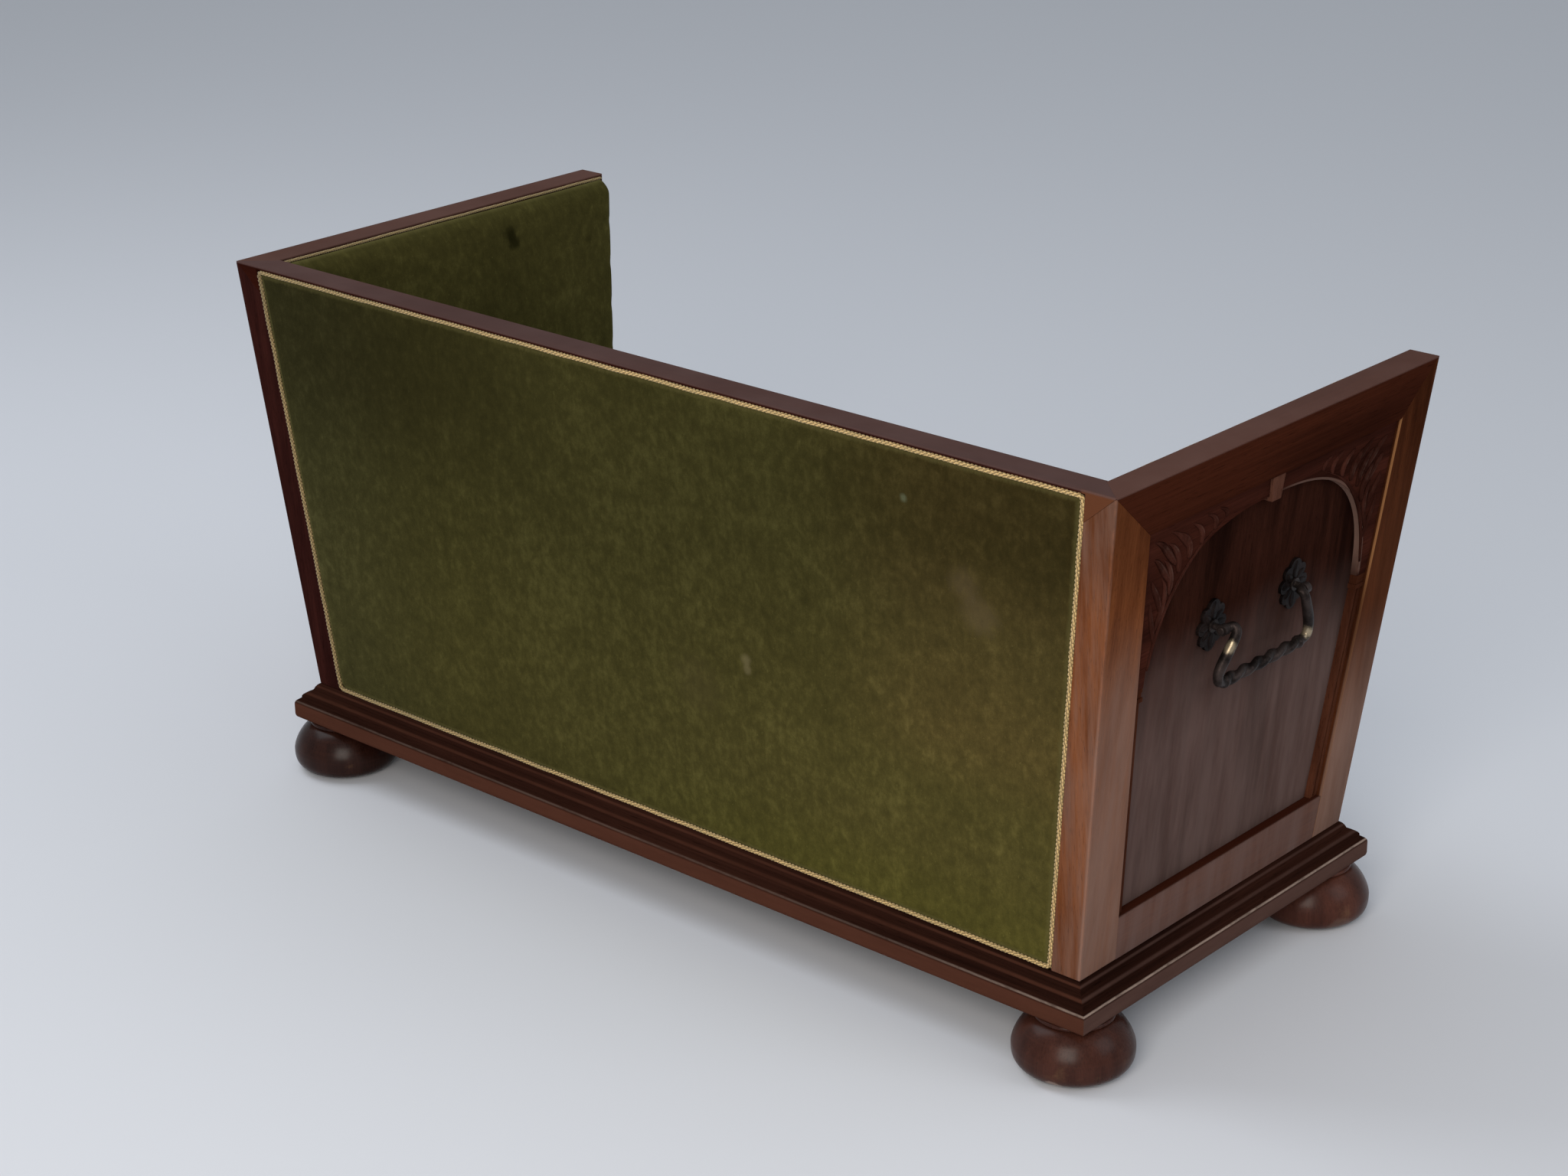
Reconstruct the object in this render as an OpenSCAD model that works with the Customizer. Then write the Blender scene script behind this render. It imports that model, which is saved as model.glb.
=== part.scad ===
// Two-seater box sofa: a flared mahogany case on bun feet, with an upholstered back, arms and seat.
// The sofa faces -Y, its origin is on the floor, and left is -X, as seen from the front.

/* [Case] */
// Length of the case along its top edge
top_w = 1420; // [1250:10:1600]
// Depth of the case along its top edge
top_d = 641; // [600:1:720]
// Height of the case above the plinth
case_h = 601; // [560:1:680]
// How far each arm leans out from bottom to top
arm_lean = 60; // [30:1:75]
// How far the back leans out from bottom to top
back_lean = 42.5; // [25:0.5:60]
// How far the front leans out from bottom to top
front_lean = 60.5; // [40:0.5:75]
// Thickness of the arm and back frames
frame_t = 39.5; // [36:0.5:50]

/* [Frame members] */
// Height of the top rails
top_rail_h = 62; // [56:1:68]
// Width of the back post seen from the side
back_post_w = 68; // [62:1:76]
// Width of the front post seen from the side
front_post_w = 60; // [54:1:66]
// Height of the bottom rail of an arm
bottom_rail_h = 56; // [48:1:64]
// Flush strip at the top of the back rail, above its upholstery
top_strip_h = 4; // [3:0.5:12]
// Depth of the upholstery rebate in the back frame
back_rebate = 5; // [4:0.5:9]
// Width of the hidden uprights in the back frame
upright_w = 55; // [40:1:70]

/* [Plinth] */
// Height of the plinth
plinth_h = 50; // [44:1:60]
// How far the plinth stands out past the case
plinth_out = 27; // [22:1:30]
// Legs of the triangular blocks in the plinth's corners
block_leg = 70; // [50:1:90]

/* [Feet] */
// Height of a bun foot with its collar
foot_h = 72; // [62:1:85]
// Radius of a foot at its widest
foot_r = 71.5; // [62:0.5:76]
// Height of a foot's widest point above the floor
foot_belly_h = 29; // [24:1:34]
// Radius of the flat that a foot stands on
foot_sole_r = 28; // [20:1:40]
// Radius of a foot's collar
collar_r = 47.5; // [40:0.5:47.5]
// Height of a foot's collar
collar_h = 6; // [4:0.5:9]
// Distance of a foot's centre from the plinth's outer faces
foot_inset = 48; // [48:1:56]
// Radius of the dowel that holds a foot
foot_dowel_r = 10; // [7:0.5:13]
// Depth of the dowel in the foot
foot_dowel_in = 30; // [20:1:38]

/* [Arched arm panel] */
// Depth of the arch board behind the frame's face
board_set = 5; // [3:0.5:8]
// Thickness of the arch board
board_t = 10; // [8:0.5:12]
// Thickness of the field panel
panel_t = 9; // [7:0.5:11]
// Gap between an arch's foot and its post
arch_foot = 18.2; // [16:0.1:40]
// Rise of the arch from its springs
arch_rise = 167; // [140:1:175]
// Height of the frame's face left above the crown of the arch
arch_top_gap = 25; // [22:1:34]
// Roundness of the arch, 2 for an ellipse
arch_power = 2.5; // [2:0.1:3]
// Width of the keystone at its top
keystone_w = 24; // [18:1:30]
// Height of the keystone
keystone_h = 30; // [26:1:36]
// How far the keystone stands out from the arch board
keystone_out = 4; // [2:0.5:5]
// Width of a pilaster
pilaster_w = 15; // [12:0.5:18]
// Height of a pilaster's capital
capital_h = 17; // [14:1:22]
// How far a capital stands out past its pilaster
capital_out = 2.5; // [1.5:0.5:4]
// Height of the carved leaves above the arch board
leaf_out = 3.5; // [2.5:0.5:4.5]

/* [Handle] */
// Distance between the pivots of a handle
pivot_span = 165; // [150:1:185]
// Depth of the handle's pivots below the top of the case
pivot_drop = 225; // [215:1:240]
// Drop of the grip below the pivots
grip_drop = 65; // [58:1:72]
// Radius of the twisted grip
grip_r = 7.5; // [6:0.5:8.5]
// Radius of the bail's arms
bail_arm_r = 5; // [4:0.25:5.5]
// Radius of the pins at the ends of the bail
pin_r = 3; // [2.5:0.25:3.5]
// Clearance of a pin in its eye
pin_clear = 0.1; // [0.06:0.02:0.14]
// Width of a backplate
plate_w = 54; // [48:1:60]
// Height of a backplate
plate_h = 64; // [56:1:70]
// Thickness of a backplate
plate_t = 4; // [3:0.5:5]
// How far the pivots stand out from the backplates
pivot_out = 15; // [14:0.5:18]

/* [Seat] */
// Height of the seat's crown above the floor
seat_h = 440; // [410:5:470]
// Height of the front apron
apron_h = 83; // [70:1:95]
// Thickness of the front apron
apron_t = 20; // [16:1:26]
// Height of the seat rails
seat_rail_h = 55; // [48:1:64]
// Thickness of the seat rails
seat_rail_t = 28; // [24:1:34]
// Crown of the seat pad
seat_crown = 22; // [10:1:34]
// Height of a seat spring
spring_h = 150; // [130:1:160]
// Radius of a seat spring at its ends
spring_r = 46; // [38:1:52]
// Radius of the spring wire
wire_r = 2; // [1.5:0.25:2.5]
// Width of a webbing strap
strap_w = 50; // [40:1:60]

/* [Upholstery] */
// Thickness of an arm's inner pad
arm_pad_t = 27; // [20:1:34]
// Thickness of the inner back pad
back_pad_t = 44; // [30:1:60]
// Radius of the gimp cord on the outer back and the seat
gimp_r = 3.1; // [2.4:0.1:4.2]
// Radius of the gimp cord along the top of the inner pads
inner_gimp_r = 2.2; // [1.8:0.1:3.2]
// Clearance round soft pieces
soft_clear = 0.3; // [0.2:0.05:0.5]

/* [Hidden] */

$fn = 64;
// Overshoot of a cutting solid past what it cuts
over = 1;
// Clearance of a joint whose faces meet at more than one cut
joint_spare = 0.1;
// Size of a solid that reaches past the whole case
far = 2 * top_w;
case_bottom = foot_h + plinth_h;
case_top = case_bottom + case_h;
half_w = top_w / 2;
half_d = top_d / 2;
// The back feet stand out past the top, so the case lies forward of the origin by half of that
foot_overhang = max(0, plinth_out - foot_inset + foot_r - back_lean);
back_top_y = half_d - foot_overhang / 2;
front_top_y = -half_d - foot_overhang / 2;
mahogany = "#6b3a22";
dark_wood = "#4a2a1c";
beech = "#c8a878";
velour = "#4c4824";
gimp_gold = "#a58c55";
iron = "#3c352c";
jute = "#a98d5f";

// The outer faces of the case at height z
function side_x(z) = half_w - arm_lean * (case_top - z) / case_h;
function back_y(z) = back_top_y - back_lean * (case_top - z) / case_h;
function front_y(z) = front_top_y + front_lean * (case_top - z) / case_h;
arm_tilt = atan(arm_lean / case_h);

// Opening of an arm's frame, between its posts and rails
open_top = case_top - top_rail_h;
open_bottom = case_bottom + bottom_rail_h;
function open_back(z) = back_y(z) - back_post_w;
function open_front(z) = front_y(z) + front_post_w;
// Tongue of the field panel in the frame's groove, and the groove's spare depth
panel_tongue = 7;
groove_spare = 1;

// A leaning slab along one side of the case, from depth a to depth b behind its outer face
module side_slab(a, b, low = case_bottom, high = case_top) {
    rotate([90, 0, 0])
        linear_extrude(height = far, center = true)
            polygon([
                [a - side_x(low), low],
                [b - side_x(low), low],
                [b - side_x(high), high],
                [a - side_x(high), high]
            ]);
}

// An upright wall of the given outline, given in Y and Z, that reaches across the case
module across(outline) {
    rotate([90, 0, 90])
        linear_extrude(height = far, center = true)
            polygon(outline);
}

// Leaning slabs along the back and the front, and the whole depth between them
module back_slab(a, b, low = case_bottom, high = case_top) {
    across([
        [back_y(low) - a, low],
        [back_y(low) - b, low],
        [back_y(high) - b, high],
        [back_y(high) - a, high]
    ]);
}
module front_slab(a, b, low = case_bottom, high = case_top) {
    across([
        [front_y(low) + a, low],
        [front_y(low) + b, low],
        [front_y(high) + b, high],
        [front_y(high) + a, high]
    ]);
}
module depth_slab(low = case_bottom, high = case_top) {
    across([[back_y(low), low], [front_y(low), low], [front_y(high), high], [back_y(high), high]]);
}

// The block between the arms' faces at a given depth behind their outer faces
module between_arms(a, low = case_bottom, high = case_top) {
    rotate([90, 0, 0])
        linear_extrude(height = far, center = true)
            polygon([
                [a - side_x(low), low],
                [side_x(low) - a, low],
                [side_x(high) - a, high],
                [a - side_x(high), high]
            ]);
}

// Mitres of the top corners: one falls from the outer corner along the arm, one along the back
back_fall = top_rail_h / (back_post_w + back_lean * top_rail_h / case_h);
front_fall = top_rail_h / (front_post_w + front_lean * top_rail_h / case_h);
module mitre_along_arm() {
    across([
        [back_top_y, case_top],
        [back_top_y - far, case_top - back_fall * far],
        [-far, far],
        [back_top_y, far]
    ]);
}
module mitre_along_back() {
    rotate([90, 0, 0])
        linear_extrude(height = far, center = true)
            polygon([
                [-half_w, case_top],
                [far - half_w, case_top - back_fall * far],
                [far, far],
                [-half_w, far]
            ]);
}
module mitre_front() {
    across([
        [front_top_y, case_top],
        [far + front_top_y, case_top - front_fall * far],
        [far, far],
        [front_top_y, far]
    ]);
}
// The half of the corner seen from above that belongs to the arm: its joint ends beside the inner corner
corner_slope = 0.93;
module arm_side_of_corner() {
    linear_extrude(height = far)
        polygon([
            [-half_w, back_top_y],
            [far - half_w, back_top_y - far * corner_slope],
            [-half_w, back_top_y - far]
        ]);
}

// The groove for the field panel, cut in every member of an arm's frame
module panel_shape(grow) {
    low = open_bottom - grow;
    high = open_top + grow;
    across([
        [open_back(low) + grow, low],
        [open_front(low) - grow, low],
        [open_front(high) - grow, high],
        [open_back(high) + grow, high]
    ]);
}
module panel_groove() {
    intersection() {
        side_slab(board_set + board_t, board_set + board_t + panel_t);
        panel_shape(panel_tongue + groove_spare);
    }
}

// Members of an arm's frame
module back_post_solid() {
    difference() {
        intersection() {
            side_slab(0, frame_t);
            back_slab(0, back_post_w);
        }
        mitre_along_arm();
        mitre_along_back();
        panel_groove();
    }
}
module front_post_solid() {
    difference() {
        intersection() {
            side_slab(0, frame_t);
            front_slab(0, front_post_w);
        }
        mitre_front();
        panel_groove();
    }
}
module arm_top_rail_solid() {
    difference() {
        intersection() {
            side_slab(0, frame_t, open_top, case_top);
            depth_slab(open_top, case_top);
            mitre_along_arm();
            mitre_front();
            arm_side_of_corner();
        }
        panel_groove();
    }
}
module arm_bottom_rail_solid() {
    difference() {
        intersection() {
            side_slab(0, frame_t, case_bottom, open_bottom);
            across([
                [open_back(case_bottom), case_bottom],
                [open_front(case_bottom), case_bottom],
                [open_front(open_bottom), open_bottom],
                [open_back(open_bottom), open_bottom]
            ]);
        }
        panel_groove();
    }
}
module field_panel_solid() {
    difference() {
        intersection() {
            side_slab(board_set + board_t, board_set + board_t + panel_t);
            panel_shape(panel_tongue);
        }
        handle_bores();
    }
}

// The arch: a superellipse on its springs, from one spring over the crown to the other
spring_z = open_top - arch_top_gap - arch_rise;
crown_z = spring_z + arch_rise;
arch_y = (open_back(spring_z) + open_front(spring_z)) / 2;
arch_half = (open_back(spring_z) - open_front(spring_z)) / 2 - arch_foot;
arch_steps = 40;
function arch_point(turn) = [
    arch_y + arch_half * sign(cos(turn)) * pow(abs(cos(turn)), 2 / arch_power),
    spring_z + arch_rise * pow(sin(turn), 2 / arch_power)
];
arch_curve = [for (i = [0:arch_steps]) arch_point(180 * i / arch_steps)];
// The keystone narrows towards the arch, and hangs a little below its crown
keystone_drop = 6;
keystone_top = crown_z - keystone_drop + keystone_h;
keystone_taper = 0.75;
module keystone_shape() {
    across([
        [arch_y - keystone_w / 2, keystone_top],
        [arch_y + keystone_w / 2, keystone_top],
        [arch_y + keystone_w * keystone_taper / 2, keystone_top - keystone_h],
        [arch_y - keystone_w * keystone_taper / 2, keystone_top - keystone_h]
    ]);
}
module arch_board() {
    difference() {
        intersection() {
            side_slab(board_set, board_set + board_t, spring_z, open_top);
            panel_shape(0);
        }
        across(concat(
            [[arch_y + arch_half, spring_z - over]],
            arch_curve,
            [[arch_y - arch_half, spring_z - over]]
        ));
        keystone_shape();
    }
}
module spandrel_back_solid() {
    intersection() {
        arch_board();
        across([[arch_y, spring_z - over], [far, spring_z - over], [far, case_top], [arch_y, case_top]]);
    }
}
module spandrel_front_solid() {
    intersection() {
        arch_board();
        across([[arch_y, spring_z - over], [-far, spring_z - over], [-far, case_top], [arch_y, case_top]]);
    }
}
module keystone_solid() {
    intersection() {
        side_slab(board_set - keystone_out, board_set + board_t);
        keystone_shape();
    }
}

// Pilasters stand on the bottom rail against the posts and carry the arch on their capitals
pilaster_set = board_set + 2;
flute_w = 3.5;
flute_depth = 2;
capital_parts = [[0.32, 1], [0.7, 0.45], [1, 0.75]];
function beside(z, way) = way > 0 ? open_back(z) : open_front(z);
// A strip beside a post, from a to b away from it, way is 1 at the back and -1 at the front
module post_strip(a, b, low, high, way) {
    across([
        [beside(low, way) - way * a, low],
        [beside(low, way) - way * b, low],
        [beside(high, way) - way * b, high],
        [beside(high, way) - way * a, high]
    ]);
}
module pilaster_solid(way) {
    capital_low = spring_z - capital_h;
    flute_set = (pilaster_w - flute_w) / 2;
    panel_face = board_set + board_t;
    difference() {
        intersection() {
            side_slab(pilaster_set, panel_face, open_bottom, capital_low + over);
            post_strip(0, pilaster_w, open_bottom, capital_low + over, way);
        }
        intersection() {
            side_slab(pilaster_set - over, pilaster_set + flute_depth, open_bottom, capital_low - over);
            post_strip(flute_set, flute_set + flute_w, open_bottom + over, capital_low, way);
        }
    }
    for (i = [0:len(capital_parts) - 1]) {
        low = capital_low + (i == 0 ? 0 : capital_parts[i - 1][0]) * capital_h;
        high = capital_low + capital_parts[i][0] * capital_h;
        stand = capital_parts[i][1] * capital_out;
        intersection() {
            side_slab(pilaster_set - stand, panel_face, low, high);
            post_strip(0, pilaster_w + stand, low, high, way);
        }
    }
}
module pilasters_solid() {
    pilaster_solid(1);
    pilaster_solid(-1);
}

// Carved leaves: a fan in each spandrel, rooted in the frame's corner, each leaf a lens shape
leaf_corner = 8;
leaf_root = 10;
// Angle below the top rail, length and width of each leaf
leaf_angles = [10, 24, 38, 52, 66, 79];
leaf_lengths = [88, 86, 80, 76, 80, 84];
leaf_widths = [15, 18, 19, 19, 18, 15];
module leaf_shape(length, width) {
    bend_r = (length * length + width * width) / (4 * width);
    intersection() {
        translate([length / 2, bend_r - width / 2])
            circle(r = bend_r, $fn = 180);
        translate([length / 2, width / 2 - bend_r])
            circle(r = bend_r, $fn = 180);
    }
}
module leaf_spray(way) {
    corner_y = beside(open_top, way) - way * leaf_corner;
    for (leaf = [0:len(leaf_angles) - 1])
        rotate([90, 0, 90])
            linear_extrude(height = far, center = true)
                translate([corner_y, open_top - leaf_corner])
                    mirror([way > 0 ? 1 : 0, 0])
                        rotate(-leaf_angles[leaf])
                            translate([leaf_root, 0])
                                leaf_shape(leaf_lengths[leaf], leaf_widths[leaf]);
}
module carvings_solid() {
    intersection() {
        side_slab(board_set - leaf_out, board_set);
        union() {
            leaf_spray(1);
            leaf_spray(-1);
        }
    }
}

// Handle: the backplates lie on the field panel, so they lean with it, and the bail hangs upright
pivot_z = case_top - pivot_drop;
pivot_reach = plate_t + pivot_out;
panel_z = pivot_z + pivot_reach * sin(arm_tilt);
pivot_x = board_set + board_t - side_x(panel_z) - pivot_reach * cos(arm_tilt);
eye_w = 9;
eye_r = pin_r + 3.6;
stem_r = 4;
stem_clear = 0.05;
boss_r = 8;
boss_h = 2.5;
nut_r = 7.5;
nut_h = 5;
module on_panel(way) {
    translate([board_set + board_t - side_x(panel_z), arch_y + way * pivot_span / 2, panel_z])
        rotate([0, -arm_tilt, 0])
            children();
}
module handle_bores() {
    for (way = [-1, 1])
        on_panel(way)
            rotate([0, 90, 0])
                cylinder(r = stem_r + stem_clear, h = far / 10, center = true);
}
// Outline of a backplate: a waisted body with lobes above, below and at the sides
module plate_shape() {
    circle(r = plate_w * 0.36);
    for (way = [-1, 1]) {
        translate([0, way * (plate_h / 2 - plate_h * 0.17)])
            circle(r = plate_h * 0.17);
        translate([way * (plate_w / 2 - plate_w * 0.15), 0])
            circle(r = plate_w * 0.15);
        for (turn = [-1, 1])
            translate([turn * plate_w * 0.24, way * plate_h * 0.24])
                circle(r = plate_w * 0.15);
    }
}
module handle_plates_solid() {
    for (way = [-1, 1])
        on_panel(way)
            difference() {
                rotate([90, 0, -90])
                    linear_extrude(height = plate_t)
                        plate_shape();
                rotate([0, 90, 0])
                    cylinder(r = stem_r + stem_clear, h = far / 10, center = true);
            }
}
module handle_posts_solid() {
    for (way = [-1, 1])
        on_panel(way) {
            difference() {
                union() {
                    translate([-pivot_reach + pin_r, 0, 0])
                        rotate([0, 90, 0])
                            cylinder(r = stem_r, h = pivot_reach - pin_r + panel_t + nut_h + 2);
                    translate([-plate_t - boss_h, 0, 0])
                        rotate([0, 90, 0])
                            cylinder(r = boss_r, h = boss_h);
                    translate([-pivot_reach, 0, 0])
                        rotate([90, 0, 0])
                            cylinder(r = eye_r, h = eye_w, center = true);
                }
                translate([-pivot_reach, 0, 0])
                    rotate([90, 0, 0])
                        cylinder(r = pin_r + pin_clear, h = eye_w + over, center = true);
            }
            difference() {
                translate([panel_t, 0, 0])
                    rotate([0, 90, 0])
                        cylinder(r = nut_r, h = nut_h, $fn = 6);
                rotate([0, 90, 0])
                    cylinder(r = stem_r + stem_clear, h = far / 10, center = true);
            }
        }
}

// Tools for swept and lofted shapes
function unit(v) = v / norm(v);
function headings(path) = [
    for (i = [0:len(path) - 1])
        unit(path[min(i + 1, len(path) - 1)] - path[max(i - 1, 0)])
];
function carried(ways, side, i = 0) =
    i == len(ways) ? [] :
    let (now = unit(side - (side * ways[i]) * ways[i]))
    concat([now], carried(ways, now, i + 1));
function curve_at(a, b, c, d, t) =
    0.5 * (2 * b + (c - a) * t + (2 * a - 5 * b + 4 * c - d) * t * t + (3 * b - a - 3 * c + d) * t * t * t);
function smooth(points, steps) = let (n = len(points)) concat(
    [for (i = [0:n - 2]) for (j = [0:steps - 1])
        curve_at(points[max(i - 1, 0)], points[i], points[i + 1], points[min(i + 2, n - 1)], j / steps)],
    [points[n - 1]]
);
function ring_middle(ring) = [for (i = [1:len(ring)]) 1 / len(ring)] * ring;
// A closed solid through rings of points, or a closed loop of them
module loft(rings, looped = false) {
    n = len(rings[0]);
    m = len(rings);
    last = looped ? m - 1 : m - 2;
    points = concat(
        [for (ring = rings) for (p = ring) p],
        [ring_middle(rings[0]), ring_middle(rings[m - 1])]
    );
    sides = [
        for (i = [0:last]) for (k = [0:n - 1])
            let (a = i * n, b = ((i + 1) % m) * n, next = (k + 1) % n)
            each [[a + k, b + k, b + next], [a + k, b + next, a + next]]
    ];
    caps = looped ? [] : [
        for (k = [0:n - 1])
            let (next = (k + 1) % n, b = (m - 1) * n)
            each [[m * n, k, next], [m * n + 1, b + next, b + k]]
    ];
    polyhedron(points = points, faces = concat(sides, caps), convexity = 6);
}
function round_ring(at, way, side, r, sides) = [
    for (k = [0:sides - 1])
        at + r * (cos(360 * k / sides) * side + sin(360 * k / sides) * cross(way, side))
];

// The bail: pins in the eyes, swan-necked arms and a twisted grip, drawn about its pivots
bail_sides = 12;
// Points of a bail's arm: outward from the pivot axis, past the pivot, and share of the drop
bail_neck = [
    [0, -5.4, 0], [0.5, -9, 0], [6, -13.5, -0.01], [12, -12.5, 0.05], [13, -2, 0.25],
    [9, 11, 0.5], [4, 16, 0.74], [0.5, 12, 0.92]
];
grip_back = 2;
grip_half = pivot_span / 2 + 3;
neck_steps = 3;
grip_steps = 36;
strand_pitch = 56;
strand_depth = 0.17;
head_r = pin_r + 1.4;
head_w = 1.6;
function neck_point(p, way) = [-p[0], way * (pivot_span / 2 + p[1]), -p[2] * grip_drop];
function neck_path(way) = smooth(
    concat([for (p = bail_neck) neck_point(p, way)], [[grip_back, way * grip_half, -grip_drop]]),
    neck_steps
);
function grip_lobe(y, turn) = 1 - strand_depth * (1 - cos(2 * (turn - 360 * y / strand_pitch))) / 2;
bail_path = concat(
    neck_path(1),
    [for (i = [1:grip_steps - 1]) [grip_back, grip_half * (1 - 2 * i / grip_steps), -grip_drop]],
    [for (i = [len(neck_path(-1)) - 1:-1:0]) neck_path(-1)[i]]
);
module bail_form() {
    ways = headings(bail_path);
    sides = carried(ways, [0, 0, 1]);
    loft([
        for (i = [0:len(bail_path) - 1])
            let (p = bail_path[i], gripped = abs(p[1]) < grip_half - 1 && p[2] == -grip_drop)
            [for (k = [0:bail_sides - 1])
                let (turn = 360 * k / bail_sides, r = gripped ? grip_r * grip_lobe(p[1], turn) : bail_arm_r)
                p + r * (cos(turn) * sides[i] + sin(turn) * cross(ways[i], sides[i]))]
    ]);
}
module bail_solid() {
    translate([pivot_x, arch_y, pivot_z]) {
        bail_form();
        for (way = [-1, 1]) {
            pin_in = pivot_span / 2 - eye_w / 2 - 2;
            translate([0, way > 0 ? pin_in : -pin_in, 0])
                rotate([way > 0 ? -90 : 90, 0, 0]) {
                    cylinder(r = pin_r, h = eye_w + 2 + pin_clear * 3 + head_w);
                    translate([0, 0, eye_w + 2 + pin_clear * 3])
                        cylinder(r = head_r, h = head_w);
                }
        }
    }
}

// Back frame: a mitred top rail over a rebated frame that the velour covers
back_rail_h = 60;
back_rail_low = case_bottom + back_rail_h;
module back_frame_part(low, high) {
    intersection() {
        back_slab(back_rebate, frame_t, low, high);
        between_arms(frame_t, low, high);
    }
}
// What the post and the arm's top rail take from the end of the back top rail, with a joint's clearance
module corner_share() {
    difference() {
        side_slab(-over, frame_t + joint_spare, open_top - over, case_top + over);
        difference() {
            mitre_along_back();
            arm_side_of_corner();
        }
    }
}
module back_top_rail_solid() {
    difference() {
        intersection() {
            back_slab(0, frame_t, open_top, case_top);
            between_arms(0, open_top, case_top);
        }
        intersection() {
            back_slab(-over, back_rebate, open_top - over, case_top - top_strip_h);
            between_arms(frame_t, open_top - over, case_top - top_strip_h);
        }
        corner_share();
        mirror([1, 0, 0])
            corner_share();
    }
}
module back_uprights_solid() {
    for (way = [0, 1])
        mirror([way, 0, 0])
            intersection() {
                back_slab(back_rebate, frame_t, back_rail_low, open_top);
                side_slab(frame_t, frame_t + upright_w, back_rail_low, open_top);
            }
    intersection() {
        back_slab(back_rebate, frame_t, back_rail_low, open_top);
        translate([-upright_w / 2, -far / 2, 0])
            cube([upright_w, far, far]);
    }
}

// Levels of the seat
seat_rail_top = case_bottom + apron_h;
seat_rail_low = seat_rail_top - seat_rail_h;
spring_top = seat_rail_low + spring_h;
hessian_t = 1.2;
web_t = 1.9;
seat_under = spring_top + 2 * soft_clear + hessian_t;
pad_low = seat_rail_top + soft_clear;
gimp_drop = 1.5;
gimp_z = case_top - gimp_drop - inner_gimp_r;
pad_top = gimp_z - inner_gimp_r - soft_clear;

// Padded slabs: a rounded outline in which each ring is drawn in, and rises to a low crown
corner_turns = 4;
function round_outline(w, h, r) = [
    for (c = [0:3]) for (i = [0:corner_turns])
        let (turn = 90 * c + 90 * i / corner_turns, sx = c == 0 || c == 3 ? 1 : -1, sy = c < 2 ? 1 : -1)
        [sx * (w / 2 - r) + r * cos(turn), sy * (h / 2 - r) + r * sin(turn)]
];
edge_turns = 3;
// Draw-in and height of each ring of a pad of thickness t with an edge radius r and a crown
function pad_steps(t, r, crown) = concat(
    [[0, 0, 1], [0, t - r - crown, 1]],
    [for (i = [1:edge_turns])
        [r * (1 - cos(90 * i / edge_turns)), t - r - crown + r * sin(90 * i / edge_turns), 1]],
    [for (f = [0.85, 0.6, 0.3]) [r, t - crown * f * f, f]]
);
function pad_ring(w, h, r, step) = [
    for (p = round_outline(w - 2 * step[0], h - 2 * step[0], max(r - step[0], 1)))
        [p[0] * step[2], p[1] * step[2], step[1]]
];

// Inner arm pad of the left arm, on the inner faces of its frame
arm_pad_round = 8;
arm_pad_corner = 8;
arm_pad_crown = 5;
arm_pad_h = pad_top - pad_low;
arm_pad_mid = (pad_top + pad_low) / 2;
function arm_pad_back(z) = back_y(z) - frame_t - soft_clear;
function arm_pad_front(z) = front_y(z);
function arm_pad_len(z) = arm_pad_back(z) - arm_pad_front(z);
function on_arm(p) = let (z = arm_pad_mid + p[1]) [
    frame_t + soft_clear + p[2] - side_x(z),
    (arm_pad_back(z) + arm_pad_front(z)) / 2 - p[0] * arm_pad_len(z) / arm_pad_len(arm_pad_mid),
    z
];
module arm_pad_solid() {
    loft([
        for (step = pad_steps(arm_pad_t, arm_pad_round, arm_pad_crown))
            [for (p = pad_ring(arm_pad_len(arm_pad_mid), arm_pad_h, arm_pad_corner, step)) on_arm(p)]
    ]);
}

// Inner back pad, between the arm pads
back_pad_round = 12;
back_pad_corner = 12;
back_pad_crown = 8;
function back_pad_half(z) = side_x(z) - frame_t - arm_pad_t - 2 * soft_clear;
function on_back(p) = let (z = arm_pad_mid + p[1]) [
    p[0] * back_pad_half(z) / back_pad_half(arm_pad_mid),
    back_y(z) - frame_t - soft_clear - p[2],
    z
];
module back_pad_solid() {
    loft([
        for (step = pad_steps(back_pad_t, back_pad_round, back_pad_crown))
            [for (p = pad_ring(2 * back_pad_half(arm_pad_mid), arm_pad_h, back_pad_corner, step)) on_back(p)]
    ]);
}

// Outer back panel, in the rebate of the back frame, inside its border of gimp
panel_edge = 2 * gimp_r + soft_clear;
back_panel_low = case_bottom + panel_edge;
back_panel_high = case_top - top_strip_h - panel_edge;
back_panel_mid = (back_panel_low + back_panel_high) / 2;
back_panel_crown = 1.2;
function back_panel_half(z) = side_x(z) - frame_t - panel_edge;
function on_outer_back(p) = let (z = back_panel_mid + p[1]) [
    -p[0] * back_panel_half(z) / back_panel_half(back_panel_mid),
    back_y(z) - back_rebate + soft_clear + p[2],
    z
];
back_panel_h = back_panel_high - back_panel_low;
back_panel_corner = 2.5;
back_panel_round = 1.2;
module back_panel_solid() {
    thick = back_rebate + back_panel_crown;
    loft([
        for (step = pad_steps(thick, back_panel_round, back_panel_crown))
            [for (p = pad_ring(2 * back_panel_half(back_panel_mid), back_panel_h, back_panel_corner, step))
                on_outer_back(p)]
    ]);
}

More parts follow.
